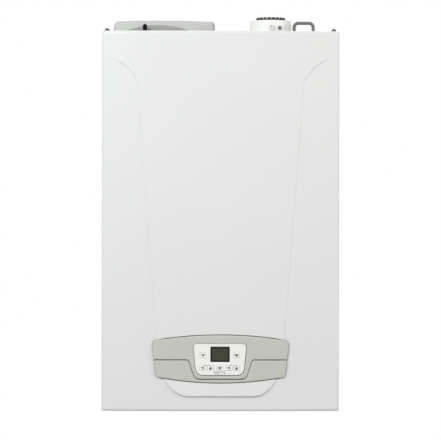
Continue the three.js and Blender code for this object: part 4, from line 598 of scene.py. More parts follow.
# The keypad sits in its opening with a joint that is wider to the right and below.
keypad_seat, seat_shift = 0.0006, 0.0004
opening = [(x + seat_shift, z - seat_shift) for x, z in moved_out(keypad_loop, keypad_seat)]
for node, outline, holes in (("control_fascia", upper_loop, [opening]),
                             ("fascia_lower_trim", lower_loop, [])):
    piece = plate(node + "_moulding", outline, fascia_front, fascia_back, grey_abs, plate_edge, plate_step,
                  holes=holes, bowed=True, roll=edge_share)
    fitted(piece, "control_unit", node)

# Keypad plate
# White ABS plate that carries the display and the keys, 1.1 mm proud of the fascia, with a window for each
# key and a sunk place at its foot for the service flap. Moulded, with a fine satin surface.
white_abs = surface_finish("satin_white_abs", ("F4F4F0", "F6F6F3"), 50.0, (0.36, 0.44), 0.8, 0.012)
keypad_front, keypad_back, keypad_edge, keypad_step = -0.3432, -0.3396, 0.0005, 0.006
display_at, display_size, display_gap, window_corner = (-0.0007, 0.1078), (0.0358, 0.0282), 0.0003, 0.0012
key_size, key_corner, window_gap = (0.012, 0.009), 0.0016, 0.0002
# Each key's place: across as a share of the keypad's half width, and up from the cover's foot.
key_rows = {"mode": (-0.631, 0.1066), "reset": (0.624, 0.1066), "heating_minus": (-0.643, 0.082),
            "heating_plus": (-0.347, 0.082), "menu": (-0.006, 0.082), "hot_water_minus": (0.345, 0.082),
            "hot_water_plus": (0.631, 0.082)}
key_places = {key: (keypad_x + share * keypad_top_half, z) for key, (share, z) in key_rows.items()}
flap_at, flap_size, flap_corner = (-0.001, 0.0726), (0.024, 0.0066), 0.0015
flap_sink, flap_draft = 0.0008, 0.0006
bezel, bezel_corner, bezel_sink, bezel_draft = 0.004, 0.005, 0.0008, 0.0034


def grown_box(at, size, grow, corner):
    """A rounded rectangle round a place, grown on every side."""
    return rounded_box(*at, *(side + 2 * grow for side in size), corner)


windows = [grown_box(at, key_size, window_gap, key_corner + window_gap) for at in key_places.values()]
windows.append(grown_box(display_at, display_size, display_gap, window_corner))
recesses = [{"outline": grown_box(at, size, grow, corner), "depth": sink, "draft": draft}
            for at, size, grow, corner, sink, draft in (
                (flap_at, flap_size, 0, flap_corner, flap_sink, flap_draft),
                (display_at, display_size, bezel, bezel_corner, bezel_sink, bezel_draft))]
keypad = plate("keypad_moulding", keypad_loop, keypad_front, keypad_back, white_abs, keypad_edge, keypad_step,
               holes=windows, sunk=recesses, bowed=True)
fitted(keypad, "control_unit", "keypad_plate")

# Display
# A liquid crystal display behind a tinted acrylic window with a black printed border, glued in from behind.
acrylic = surface_finish("tinted_acrylic_window", ("34372A", "383B2D"), 18.0, (0.3, 0.36), 2.0, 0.002,
                         specular_ior_level=0.3)
black_print = surface_finish("black_screen_print", ("030302", "050504"), 10.0, (0.5, 0.6), 0.5, 0.004,
                             specular_ior_level=0.08)
display_front, display_depth, display_corner, display_edge = -0.3426, 0.0042, 0.001, 0.0003
border, border_corner, print_inset, print_lift, print_edge = 0.0024, 0.0008, 0.0004, 0.00006, 0.00003
display_loop = grown_box(display_at, display_size, 0, display_corner)
glass = plate("display_glass_window", display_loop, display_front, display_front + display_depth, acrylic,
              display_edge, keypad_step)
fitted(glass, "control_unit", "display_window")
frame_print = plate("display_border_print", moved_out(display_loop, -print_inset), display_front - print_lift,
                    display_front, black_print, print_edge, keypad_step,
                    holes=[grown_box(display_at, display_size, -border, border_corner)])
fitted(frame_print, "control_unit")

# Keys
# Seven push keys of white ABS with rolled edges, each on its own spring, with a pad-printed plain sign.
key_white = surface_finish("satin_white_key_abs", ("F2F2EF", "F4F4F1"), 14.0, (0.34, 0.42), 0.8, 0.01)
key_ink = surface_finish("grey_pad_print_ink", ("5E605D", "666865"), 5.0, (0.5, 0.6), 0.4, 0.003)
cap_edge, cap_step, sign_step, ink_lift = 0.0004, 0.003, 0.002, 0.00008
sign_half, bar_half, stroke, wedge_height = 0.0042, 0.0031, 0.0019, 0.0046
sign_drop, upper_sign_drop = 0.0003, 0.0007


def joined(name, parts, *finishes):
    """Several meshes as one piece, with their faces' finishes kept in order."""
    build = bmesh.new()
    for part in parts:
        build.from_mesh(part.data)
        bpy.data.objects.remove(part)
    kept = [face.material_index for face in build.faces]
    piece = built(name, build, finishes[0])
    for finish in finishes[1:]:
        piece.data.materials.append(finish)
    piece.data.polygons.foreach_set("material_index", kept)
    return piece


def box_loop(x, z, half_x, half_z):
    """A plain rectangle round its middle."""
    return [(x + i * half_x, z + j * half_z) for i, j in ((-1, -1), (1, -1), (1, 1), (-1, 1))]


def key_sign(key):
    """The outlines of a key's sign, round the key's middle: minus, plus, or a plain wedge or chevron."""
    drop = upper_sign_drop if key in ("mode", "reset") else sign_drop
    top, tip = wedge_height / 2 - drop, -wedge_height / 2 - drop
    if key.endswith("minus"):
        return [box_loop(-stroke / 3, top - stroke / 2, bar_half * 0.8, stroke / 2),
                [(-stroke, top - stroke * 1.2), (stroke * 0.6, tip), (stroke * 1.5, top - stroke * 1.2)]]
    if key.endswith("plus"):
        arm = stroke / 2
        across = [(bar_half, -arm), (bar_half, arm), (arm, arm), (arm, bar_half)]
        cross = across + [(-x, z) for x, z in reversed(across)]
        cross += [(-x, -z) for x, z in across[3:]] + [(arm, -bar_half), (arm, -arm)]
        return [[(x, z - drop) for x, z in cross]]
    if key == "mode":
        inner = sign_half * 0.2
        return [[(-sign_half, top), (0, tip), (sign_half, top), (inner, top), (0, top - stroke * 0.6),
                 (-inner, top)]]
    half = sign_half if key == "reset" else sign_half * 0.85
    return [[(-half, top), (-stroke / 2, tip), (stroke / 2, tip), (half, top)]]


for key, (x, z) in key_places.items():
    node, body = "button_" + key, f"button_{key}_key"
    low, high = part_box(node)
    cap = plate("key_cap_" + key, grown_box((x, z), key_size, 0, key_corner), low.y, high.y, key_white,
                cap_edge, cap_step)
    fitted(cap, body, node)
    marks = [plate("mark", [(x + dx, z + dz) for dx, dz in loop], low.y - ink_lift, low.y + ink_lift, key_ink,
                   print_edge, sign_step) for loop in key_sign(key)]
    fitted(joined("key_sign_" + key, marks, key_ink), body)

# Keypad prints and service flap
# Two thin printed lines that tie each pair of minus and plus keys, and below them a small grey flap with a
# lip, pushed into its sunk place over the service socket.
pale_ink = surface_finish("pale_grey_pad_print_ink", ("868785", "8E8F8C"), 5.0, (0.5, 0.6), 0.4, 0.003)
flap_grey = surface_finish("satin_lilac_grey_abs", ("CBCACD", "D0CFD1"), 8.0, (0.4, 0.5), 0.7, 0.01)
line_level, line_half, small_step = 0.0871, 0.0003, 0.004
for pair in ("heating", "hot_water"):
    left, right = key_places[pair + "_minus"][0], key_places[pair + "_plus"][0]
    face = keypad_front + float(bow((left + right) / 2))
    tie = plate(f"{pair}_tie_line", box_loop((left + right) / 2, line_level, (right - left) / 2, line_half),
                face - ink_lift, face + ink_lift, pale_ink, print_edge, small_step)
    fitted(tie, "control_unit")
flap_front = keypad_front + flap_sink
flap_room, flap_round, flap_edge, flap_lift, flap_depth = 0.0008, 0.001, 0.0002, 0.0002, 0.001
flap = plate("service_flap", grown_box(flap_at, flap_size, -flap_room, flap_round), flap_front - flap_lift,
             flap_front + flap_depth, flap_grey, flap_edge, small_step)
fitted(flap, "control_unit")
lip_at, lip_size = (flap_at[0] + 0.0038, flap_at[1] - 0.0011), (0.008, 0.0024)
lip_corner, lip_edge, lip_step, lip_lift = 0.0009, 0.0005, 0.003, 0.0001
lip = plate("service_flap_lip", grown_box(lip_at, lip_size, 0, lip_corner), keypad_front - lip_lift,
            flap_front, white_abs, lip_edge, lip_step)
fitted(lip, "control_unit")

# Cover screws
# Two dark passivated steel screws, each a small slotted hexagon on a broad, tall flange. They stand in the
# top panel and hold the cover's top flange down through its open slots.
dark_zinc = surface_finish("dark_passivated_zinc", ("545656", "626463"), 9.0, (0.4, 0.55), 0.6, 0.004,
                           metallic=0.6)
head_height, rim_height, slope_top, flange_round = 0.007, 0.0048, 0.0056, 0.0002
hex_radius, hex_chamfer, hex_top_share = 0.0023, 0.0007, 0.82
shank_radius, tip_radius, tip_height, seat_gap = 0.002, 0.0018, 0.0004, 0.0003
slot_width, slot_depth = 0.0009, 0.001


def centre(node):
    """The middle of a solid's box."""
    return [(low + high) / 2 for low, high in zip(*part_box(node))]


def turned(name, profile, middle, material, axis=(0, 0, 1), sides=72, ring=False):
    """A round piece: its profile, pairs of radius and place along the axis, swept round the middle."""
    along = Vector(axis)
    across = Vector((1, 0, 0)) if abs(along.x) < 0.5 else Vector((0, 1, 0))
    third = along.cross(across)
    build = bmesh.new()
    rings = []
    for radius, place in profile:
        spot = Vector(middle) + along * place
        turns = [2 * math.pi * i / sides for i in range(sides if radius > 1e-7 else 1)]
        rings.append([build.verts.new(spot + radius * (across * math.cos(t) + third * math.sin(t)))
                      for t in turns])
    pairs = list(zip(rings, rings[1:])) + ([(rings[-1], rings[0])] if ring else [])
    for first, second in pairs:
        for i in range(sides if max(len(first), len(second)) > 1 else 0):
            corners = [first[i % len(first)], first[(i + 1) % len(first)],
                       second[(i + 1) % len(second)], second[i % len(second)]]
            face = list(dict.fromkeys(corners))
            if len(face) > 2:
                build.faces.new(face)
    bmesh.ops.recalc_face_normals(build, faces=build.faces)
    return built(name, build, material)


for side in ("left", "right"):
    node = "cover_screw_" + side
    low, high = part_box(node)
    x, y, _ = centre(node)
    radius, seat = (high.x - low.x) / 2, front_high.z
    head_top = seat + head_height
    flange_line = [(0, low.z), (tip_radius, low.z), (shank_radius, low.z + tip_height),
                   (shank_radius, seat + seat_gap), (radius, seat + seat_gap), (radius, seat + rim_height),
                   (hex_radius, seat + slope_top), (0, seat + slope_top)]
    hex_line = [(0, seat + rim_height), (hex_radius, seat + rim_height), (hex_radius, head_top - hex_chamfer),
                (hex_radius * hex_top_share, head_top), (0, head_top)]
    flange = turned(node + "_flange", eased(flange_line, flange_round), (x, y, 0), dark_zinc)
    hexagon = turned(node + "_hexagon", hex_line, (x, y, 0), dark_zinc, sides=6)
    carved(hexagon, [boxed("slot_tool", (x - radius, y - slot_width / 2, head_top - slot_depth),
                           (x + radius, y + slot_width / 2, head_top + slot_depth), dark_zinc)])
    screw = joined(node + "_hex_flange", [flange, hexagon], dark_zinc)
    fitted(screw, "chassis", node, crease=40)

# Casing
# Folded sheets: white enamelled side and top panels, a galvanised back panel, bottom panel and hanging rail,
# with a foam rubber seal that the cover closes against. Edges are only broken, folds are tight.
crystal_mm = 9.0


def galvanised(name, light, dark):
    """Hot dipped zinc: crystals, each a slightly different grey, under a satin gloss."""
    made = surface_finish(name, (light, dark), 80.0, (0.36, 0.5), 3.0, 0.004, metallic=0.9)
    tree = made.node_tree
    place = add_node(tree, "ShaderNodeTexCoord", {}, {}).outputs["Object"]
    crystals = add_node(tree, "ShaderNodeTexVoronoi", {"Scale": 1000 / crystal_mm}, {"Vector": place})
    grey = add_node(tree, "ShaderNodeSeparateColor", {}, {"Color": crystals.outputs["Color"]})
    tint = {"data_type": "RGBA", 6: linear(light), 7: linear(dark)}
    colour = add_node(tree, "ShaderNodeMix", tint, {0: grey.outputs[0]})
    tree.links.new(colour.outputs[2], tree.nodes["Principled BSDF"].inputs["Base Color"])
    return made


zinc = galvanised("hot_dipped_galvanised_steel", "B9BDBE", "A3A8AA")
plated = surface_finish("bright_zinc_plate", ("B4B8BA", "BEC1C2"), 20.0, (0.28, 0.4), 1.5, 0.003,
                        metallic=0.95)
foam = surface_finish("closed_cell_foam_rubber", ("262728", "303132"), 12.0, (0.8, 0.9), 1.2, 0.08)


def bevelled(piece, width, segments=2, **limits):
    """The piece with its edges rounded off; the limits say which edges."""
    rounded = piece.modifiers.new("rounded_edges", "BEVEL")
    rounded.width, rounded.segments = width, segments
    for name, value in limits.items():
        setattr(rounded, name, value)
    return settled(piece)


def dressed(node, material, bevel, crease=38):
    """A copy of a solid with its sharp edges broken and its curves smooth, which stands for it."""
    build = bmesh.new()
    build.from_mesh(nodes[node].data)
    bmesh.ops.remove_doubles(build, verts=build.verts, dist=3e-6)
    bmesh.ops.dissolve_limit(build, angle_limit=math.radians(0.6), verts=build.verts, edges=build.edges)
    piece = bevelled(built(node + "_dressed", build, material), bevel, limit_method="ANGLE",
                     angle_limit=math.radians(crease))
    return fitted(piece, nodes[node]["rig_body"], node, crease)


for node in ("left_side_panel", "right_side_panel", "top_panel"):
    dressed(node, enamel, 0.0003)
for node in ("back_panel", "hanging_rail", "bottom_panel"):
    dressed(node, zinc, 0.0004)
dressed("cover_seal", foam, 0.0006)
# Stiffening beads, pressed 1 mm outwards into the back panel between its rails.
bead_xs, bead_width, bead_low, bead_high, bead_rise = (-0.15, -0.05, 0.05, 0.15), 0.014, 0.17, 0.6, 0.001
bead_round, bead_sink, wide_step = 0.004, 0.0002, 0.02
sheet_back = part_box("hanging_rail")[0].y - seat_gap
beads = []
for x in bead_xs:
    outline = rounded_box(x, (bead_low + bead_high) / 2, bead_width, bead_high - bead_low, bead_width / 2.01)
    bead = plate("bead", outline, -sheet_back - bead_rise, -sheet_back, zinc, bead_round, wide_step)
    for vert in bead.data.vertices:
        vert.co.y = max(-vert.co.y, sheet_back - bead_sink)
    bead.data.flip_normals()
    beads.append(bead)
fitted(joined("back_panel_beads", beads, zinc), "chassis")

# Expansion vessel
# A flat membrane vessel behind the casing: two halves of pressed steel rolled together at a seam, with an
# arched panel pressed into the front. Sprayed satin grey; the panel's front faces carry a darker grey that is
# painted shade.
vessel_paint = surface_finish("satin_grey_vessel_paint", ("C1C2C1", "C6C7C5"), 90.0, (0.42, 0.55), 3.0, 0.01)
# A darker grey, painted on the pressed panel's front faces as painted shade.
vessel_painted_shade = surface_finish("vessel_grey_painted_shade", ("9C9D9C", "A2A3A1"), 60.0, (0.55, 0.65), 3.0, 0.01)
vessel_low, vessel_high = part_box("expansion_vessel")
vessel_drop, vessel_crown, crown_power = 0.0012, 0.0022, 8
vessel_high.z -= vessel_drop
vessel_seam, seam_edge, vessel_corner, vessel_tight, vessel_round = 0.003, 0.001, 0.007, 0.005, 0.0045
vessel_lean, lean_height, lean_from = 0.003, 0.016, 0.4
vessel_step, face_step = 0.012, 0.008
vessel_middle = ((vessel_low.x + vessel_high.x) / 2, (vessel_low.z + vessel_high.z) / 2 - front_low.z)
vessel_size = (vessel_high.x - vessel_low.x, vessel_high.z - vessel_low.z)
pad_x, pad_half, pad_radius, pad_top, pad_foot, pad_steps = -0.12, 0.078, 0.18, 0.75, 0.285, 24
pad_rise, pad_lift, pad_draft = 0.0025, 0.0012, 0.0024
# The face falls back from the panel to the rim by this slope, which dies out over this reach.
face_fall, face_reach = 0.2, 0.045


def vessel_loop(inset):
    """The vessel's outline, drawn in: tighter corners at the right, a leaning left side, an arched top."""
    width, height = (side - 2 * inset for side in vessel_size)
    loops = [rounded_box(*vessel_middle, width, height, corner) for corner in (vessel_corner, vessel_tight)]
    loop = [right if left[0] > vessel_middle[0] else left for left, right in zip(*loops)]
    low_z, high_z = (vessel_middle[1] + side * vessel_size[1] / 2 for side in (-1, 1))
    far_left = vessel_middle[0] - vessel_size[0] * lean_from
    result = []
    for x, z in cut_up(loop, vessel_step, True):
        x += (x < far_left) * vessel_lean * max(0.0, 1 - (high_z - z) / lean_height)
        across, up = (x - vessel_middle[0]) / (vessel_size[0] / 2), max(0.0, (z - low_z) / (high_z - low_z))
        result.append((x, z - vessel_crown * across ** 2 * up ** crown_power))
    return result


def off_pad(place):
    """How far a place on the vessel's face lies outside the pressed panel."""
    spot = np.array([[place.x, place.z - front_low.z]])
    return 0 if inside(spot, pad_loop)[0] else float(distances(spot, pad_loop, True)[0])


pad_turn = math.asin(pad_half / pad_radius)
pad_loop = [(pad_x + pad_half, pad_foot)]
for i in range(pad_steps + 1):
    turn = pad_turn - 2 * pad_turn * i / pad_steps
    pad_loop.append((pad_x + pad_radius * math.sin(turn), pad_top - pad_radius + pad_radius * math.cos(turn)))
pad_loop.append((pad_x - pad_half, pad_foot))
vessel_split = (vessel_low.y + pad_rise + vessel_high.y) / 2
pad = {"outline": pad_loop, "depth": -pad_lift, "draft": pad_draft}
half_front = plate("vessel_front", vessel_loop(vessel_seam), vessel_low.y, vessel_split, vessel_paint,
                   vessel_round, face_step, sunk=[pad])
for vert in half_front.data.vertices:
    if vert.co.y < vessel_split - 1e-4:
        share = (vessel_split - vert.co.y) / (vessel_split - vessel_low.y)
        died_out = 1 - math.exp(-off_pad(vert.co) / face_reach)
        vert.co.y += pad_lift + share * face_fall * face_reach * died_out
# Front-facing faces inside the pressed panel take the darker grey: painted shade.
half_front.data.materials.append(vessel_painted_shade)
for face in half_front.data.polygons:
    face.material_index = int(off_pad(face.center) == 0 and face.normal.y < -0.5)
half_back = plate("vessel_back", vessel_loop(vessel_seam), vessel_low.y + pad_rise, vessel_split,
                  vessel_paint, vessel_round, wide_step)
for vert in half_back.data.vertices:
    vert.co.y = 2 * vessel_split - vert.co.y
half_back.data.flip_normals()
seam = plate("vessel_seam", vessel_loop(0.0), vessel_split - vessel_seam / 2, vessel_split + vessel_seam / 2,
             vessel_paint, seam_edge, wide_step, holes=[vessel_loop(vessel_seam * 1.1)])
vessel = joined("pressed_vessel", [half_front, half_back, seam], vessel_paint, vessel_painted_shade)
fitted(vessel, "chassis", "expansion_vessel")

# Charging valve
# A brass valve on the vessel's face, turned up behind the cover, under a black moulded cap with a grip.
brass = surface_finish("machined_brass", ("C2A25E", "B4924F"), 14.0, (0.22, 0.36), 0.8, 0.006, metallic=1.0)
black_nylon = surface_finish("glass_filled_black_nylon", ("1C1D1E", "242526"), 16.0, (0.42, 0.55), 1.0, 0.02)
black_rubber = surface_finish("moulded_black_rubber", ("050506", "09090A"), 10.0, (0.6, 0.7), 0.8, 0.02,
                              specular_ior_level=0.15)
dressed("charging_valve", brass, 0.0003)
cap_low, cap_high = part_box("valve_cap")
cap_radius, cap_height, cap_bore = (cap_high.x - cap_low.x) / 2, cap_high.z - cap_low.z, 0.0034
cap_ribs, rib_steps, rib_depth, rib_from = 14, 6, 0.0004, 0.9
bulb_height, bulb_start, bulb_steps, collar_share = 0.0058, -0.5, 15, 0.88
cap_middle = Vector((*centre("valve_cap")[:2], 0))
collar = cap_radius * collar_share
cap_line = [(cap_bore, 0), (collar, 0), (collar, cap_height - 2 * bulb_height)]
for i in range(bulb_steps + 1):
    turn = bulb_start + (math.pi / 2 - bulb_start) * i / bulb_steps
    cap_line.append((cap_radius * math.cos(turn), cap_height - bulb_height * (1 - math.sin(turn))))
cap = turned("valve_cap_ribbed", cap_line, cap_middle + Vector((0, 0, cap_low.z)), black_rubber,
             sides=cap_ribs * rib_steps)
for vert in cap.data.vertices:
    arm = Vector((vert.co.x - cap_middle.x, vert.co.y - cap_middle.y, 0))
    if arm.length > cap_radius * rib_from:
        notch = rib_depth * (0.5 - 0.5 * math.cos(cap_ribs * math.atan2(arm.y, arm.x)))
        vert.co -= arm.normalized() * notch
fitted(cap, nodes["valve_cap"]["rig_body"], "valve_cap", crease=50)

# Flue turret
# White moulded polypropylene: a ringed base on the casing, a barrel with a sampling block in front, and a
# deck with a seat for the black toothed seal that the flue is pushed into.
white_pp = surface_finish("moulded_white_polypropylene", ("EBECE8", "EFEFEB"), 40.0, (0.35, 0.46), 1.6, 0.015)
turret_low, turret_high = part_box("flue_turret")
turret_at = Vector((*centre("flue_seal")[:2], 0))
turret_radius, turret_flange, turret_round = 0.0407, 0.0425, 0.0007
base_foot, base_top, base_slope = front_high.z + seat_gap, 0.0028, 0.0036
deck, deck_drop, deck_slope, deck_inset, barrel_taper = turret_high.z, 0.006, 0.0055, 0.0012, 0.0003
seal_outer, seal_inner, seat_drop, spigot_radius = 0.0288, 0.024, 0.001, 0.0285
barrel = [(seal_inner, turret_low.z), (spigot_radius, turret_low.z), (spigot_radius, base_foot),
          (turret_flange, base_foot), (turret_flange, base_foot + base_top),
          (turret_radius, base_foot + base_slope), (turret_radius - barrel_taper, deck - deck_drop),
          (turret_radius - deck_inset, deck - deck_slope), (turret_radius - deck_inset, deck),
          (seal_outer, deck), (seal_outer, deck - seat_drop), (seal_inner, deck - seat_drop)]
turret = turned("turret_barrel", eased(barrel + barrel[:1], turret_round), turret_at, white_pp, sides=120,
                ring=True)
block_xs, block_zs = (0.0938, 0.1268), (0.7275, 0.7475)
block_face, block_gap, block_round = 0.0004, 0.001, 0.003
block = boxed("sampling_block", (block_xs[0], turret_low.y + block_face, block_zs[0] + front_low.z),
              (block_xs[1], turret_at.y - seal_outer - block_gap, block_zs[1] + front_low.z), white_pp)
parts = [turret, bevelled(block, block_round, segments=4)]
port_bore, port_rim, port_lift, port_depth, port_round = 0.0037, 0.0062, 0.0001, 0.006, 0.0002
port_line = [(port_bore, port_depth), (port_bore, -port_lift), (port_rim, -port_lift), (port_rim, port_depth)]
for side in ("air", "flue"):
    x, _, z = centre(side + "_test_cap")
    parts.append(turned("port_boss", eased(port_line, port_round), (x, turret_low.y + seat_gap, z), white_pp,
                        axis=(0, 1, 0), sides=40, ring=True))
fitted(joined("turret_moulding", parts, white_pp), "chassis", "flue_turret", crease=40)

# Test caps
# Two push-in caps on the sampling block, pale grey and dished: the air cap with a finger bar and a small
# dark dot that is painted shade for its vent hole, the flue gas cap with a dark knob in its middle.
# Dark grey for the flue cap's knob, and for the air cap's small dot, which is painted shade for a vent hole.
dark_knob_and_painted_hole_shade = surface_finish("dark_grey_polypropylene_and_painted_hole_shade", ("5C5D5B", "656664"), 12.0, (0.45, 0.55), 0.8, 0.01)
light_cap = surface_finish("pale_grey_polypropylene", ("D6D7D4", "DCDDDA"), 12.0, (0.42, 0.52), 0.8, 0.01)
# Each cap's dark middle: its radius and where it lies across and up from the cap's own middle.
# The air cap's small dark middle is painted shade standing for a vent hole.
cap_cores = {"air": (0.0009, -0.0012, 0.0038), "flue": (0.0037, -0.0004, -0.0004)}
# Profiles from the middle outwards: shares of the radius, and metres back from the face.
cap_face = ((0, 0.0012), (0.62, 0.0012), (0.7, 0.0004), (0.86, 0.0002), (1, 0.0011), (1, 0.0029))
core_face = ((0, 0), (0.8, 0.0001), (1, 0.0008), (1, 0.0018), (0, 0.0018))
plug_radius, face_round, core_round = 0.0034, 0.0004, 0.0005
bar_share, bar_thick, bar_front, bar_back = 0.55, 0.0007, 0.0002, 0.0016
for side, (core, across, up) in cap_cores.items():
    node = side + "_test_cap"
    body = nodes[node]["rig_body"]
    low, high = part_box(node)
    x, _, z = centre(node)
    radius, depth = (high.x - low.x) / 2, high.y - low.y
    line = [(radius * share, back) for share, back in cap_face]
    line += [(plug_radius, cap_face[-1][1]), (plug_radius, depth), (0, depth)]
    disc = turned(node + "_disc", eased(line, face_round), (x, low.y, z), light_cap, axis=(0, 1, 0), sides=48)
    bar = boxed("finger_bar", (x - radius * bar_share, low.y + bar_front, z - bar_thick),
                (x + radius * bar_share, low.y + bar_back, z + bar_thick), light_cap)
    fitted(joined(node + "_barred", [disc, bar], light_cap), body, node, crease=40)
    line = [(core * share, back) for share, back in core_face]
    knob = turned(side + "_cap_core", eased(line, core_round), (x + across, low.y, z + up), dark_knob_and_painted_hole_shade,
                  axis=(0, 1, 0), sides=36)
    fitted(knob, body, crease=40)

# Flue seal
# A moulded EPDM rubber ring in the turret's seat, with teeth round its rim that grip the flue pipe's socket.
epdm = surface_finish("moulded_epdm_rubber", ("101112", "191A1B"), 8.0, (0.55, 0.7), 0.7, 0.03)
# A pale grey, painted on the outer faces of the tooth gaps as a painted highlight.
seal_painted_highlight = surface_finish("epdm_painted_highlight", ("A3A49F", "ADAEA9"), 6.0, (0.7, 0.85), 0.7, 0.02)
teeth, tooth_gap, tooth_steps, root_share = 20, 0.44, 10, 0.45
seal_foot, seal_top = (corner.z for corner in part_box("flue_seal"))
root = seal_foot + (seal_top - seal_foot) * root_share
# Rings from the inner foot outwards and back: the radius at a tooth, the radius in a gap, and the height.
seal_line = ((0.02415, 0.02415, seal_foot), (0.0284, 0.0284, seal_foot), (0.0285, 0.0285, root),
             (0.0285, 0.0266, root + 0.0002), (0.0285, 0.0266, seal_top - 0.0006), (0.028, 0.0264, seal_top),
             (0.0246, 0.0246, seal_top), (0.02415, 0.02415, seal_top - 0.0005))
steps_round = teeth * tooth_steps
build = bmesh.new()
rings = []
for at_tooth, in_gap, level in seal_line:
    ring = []
    for i in range(steps_round):
        phase = (i / steps_round * teeth) % 1.0
        reach = in_gap if abs(phase - 0.5) > 0.5 - tooth_gap / 2 else at_tooth
        turn = 2 * math.pi * i / steps_round
        place = (turret_at.x + reach * math.cos(turn), turret_at.y + reach * math.sin(turn), level)
        ring.append(build.verts.new(place))
    rings.append(ring)
for first, second in zip(rings, rings[1:] + rings[:1]):
    for i in range(steps_round):
        k = (i + 1) % steps_round
        build.faces.new([first[i], first[k], second[k], second[i]])
bmesh.ops.recalc_face_normals(build, faces=build.faces)
seal = fitted(built("toothed_flue_seal", build, epdm), "chassis", "flue_seal", crease=40)
# The outer faces of the gaps between the teeth are painted pale grey: a painted highlight on the rubber.
highlight_lift, highlight_inner, highlight_outer = 0.0004, 0.0252, 0.0274
seal.data.materials.append(seal_painted_highlight)
for face in seal.data.polygons:
    arm = (face.center - turret_at).xy
    on_rim = face.center.z > root + highlight_lift and highlight_inner < arm.length < highlight_outer
    face.material_index = int(on_rim and face.normal.xy.dot(arm) > 0)

# Vent hose
# A moulded rubber hose of 6.4 mm: out of the flue elbow's nipple, up through the top panel, over and down
# again to the condensate trap. Both ends are pushed over nipples.
hose_rubber = surface_finish("dark_grey_hose_rubber", ("676866", "6F706E"), 20.0, (0.55, 0.68), 1.2, 0.02)
hose_low, hose_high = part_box("vent_hose")
hose_radius, hose_bend, hose_span, hose_rings = 0.0032, 0.008, 0.0374, 6
hose_left, hose_y, hose_crown = hose_low.x + hose_radius, hose_low.y + hose_radius, hose_high.z - hose_radius
hose_right = hose_left + hose_span
hose_start, hose_foot = 0.6503 + front_low.z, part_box("condensate_trap")[1].z + seat_gap
sway_high, sway_low, sway_steps = 0.4 + front_low.z, 0.28 + front_low.z, 12


def rounded_path(points, bend, steps=8):
    """The path with each corner bent to a radius, as an arc."""
    path = [Vector(points[0])]
    for before, corner, after in zip(points, points[1:], points[2:]):
        corner = Vector(corner)
        a, b = (Vector(before) - corner).normalized(), (Vector(after) - corner).normalized()
        half = a.angle(b) / 2
        reach = bend / math.tan(half)
        middle = corner + (a + b).normalized() * bend / math.sin(half)
        start, end = corner + a * reach - middle, corner + b * reach - middle
        path += [middle + start.slerp(end, i / steps).normalized() * bend for i in range(steps + 1)]
    return path + [Vector(points[-1])]


def meshed_curve(name, curve, material):
    """A curve or a text as a piece."""
    holder = bpy.data.objects.new(name, curve)
    bpy.context.scene.collection.objects.link(holder)
    bpy.context.view_layer.update()
    mesh = bpy.data.meshes.new_from_object(holder.evaluated_get(bpy.context.evaluated_depsgraph_get()))
    bpy.data.objects.remove(holder)
    return new_piece(name, mesh, material)


path = rounded_path([(hose_left, hose_y, hose_start), (hose_left, hose_y, hose_crown),
                     (hose_right, hose_y, hose_crown), (hose_right, hose_y, sway_high)], hose_bend)
trap_x, trap_y, _ = centre("condensate_trap")
for i in range(1, sway_steps + 1):
    share = (1 - math.cos(math.pi * i / sway_steps)) / 2
    path.append(Vector((hose_right + (trap_x - hose_right) * share, hose_y + (trap_y - hose_y) * share,
                        sway_high - (sway_high - sway_low) * i / sway_steps)))
path.append(Vector((trap_x, trap_y, hose_foot)))
curve = bpy.data.curves.new("moulded_vent_hose", "CURVE")
curve.dimensions = "3D"
curve.bevel_depth, curve.bevel_resolution, curve.use_fill_caps = hose_radius, hose_rings, True
spline = curve.splines.new("POLY")
spline.points.add(len(path) - 1)
for point, place in zip(spline.points, path):
    point.co = (*place, 1)
hose = meshed_curve("moulded_vent_hose", curve, hose_rubber)
fitted(hose, "chassis", "vent_hose", crease=50)

# Control unit behind the fascia
# A dark grey flame-retardant ABS housing whose back is curved round the hinge, with a green circuit board,
# a zinc plated hinge rod at its foot and two folded brackets that hold the rod on the bottom panel.
dark_abs = surface_finish("flame_retardant_dark_abs", ("565755", "5E5F5D"), 30.0, (0.45, 0.58), 1.0, 0.02)
solder_resist = surface_finish("green_solder_resist", ("1D5A33", "2A6B40"), 6.0, (0.28, 0.4), 2.0, 0.01)
part_black = surface_finish("moulded_component_epoxy", ("232425", "2B2C2D"), 6.0, (0.4, 0.5), 0.6, 0.01)
part_white = surface_finish("nylon_connector_body", ("DDDCD2", "E5E4DB"), 8.0, (0.4, 0.5), 0.6, 0.01)
dressed("control_housing", dark_abs, 0.0007)
dressed("control_hinge_rod", plated, 0.0002, crease=50)
for side in ("left", "right"):
    dressed("hinge_bracket_" + side, plated, 0.0003)
dressed("control_board", solder_resist, 0.0001)
# Each part on the board: its middle across and up from the cover's foot, its width, height and depth.
relays = ((-0.078, 0.118, 0.018, 0.012, 0.014), (-0.052, 0.118, 0.018, 0.012, 0.014),
          (0.05, 0.112, 0.022, 0.022, 0.003), (0.078, 0.1, 0.01, 0.01, 0.012))
connectors = ((-0.07, 0.077, 0.034, 0.009, 0.01), (-0.02, 0.077, 0.026, 0.009, 0.01),
              (0.03, 0.077, 0.026, 0.009, 0.01), (0.075, 0.077, 0.018, 0.009, 0.01))
board_back, part_sink, part_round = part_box("control_board")[1].y, 0.0001, 0.0006
for name, material, slot, places in (("board_relays", part_black, "black_plastic", relays),
                                     ("board_connectors", part_white, "white_plastic", connectors)):
    parts = []
    for x, z, width, height, depth in places:
        z += front_low.z
        part = boxed("board_part", (x - width / 2, board_back - part_sink, z - height / 2),
                     (x + width / 2, board_back + depth, z + height / 2), material)
        parts.append(bevelled(part, part_round))
    fitted(joined(name, parts, material), "control_unit")

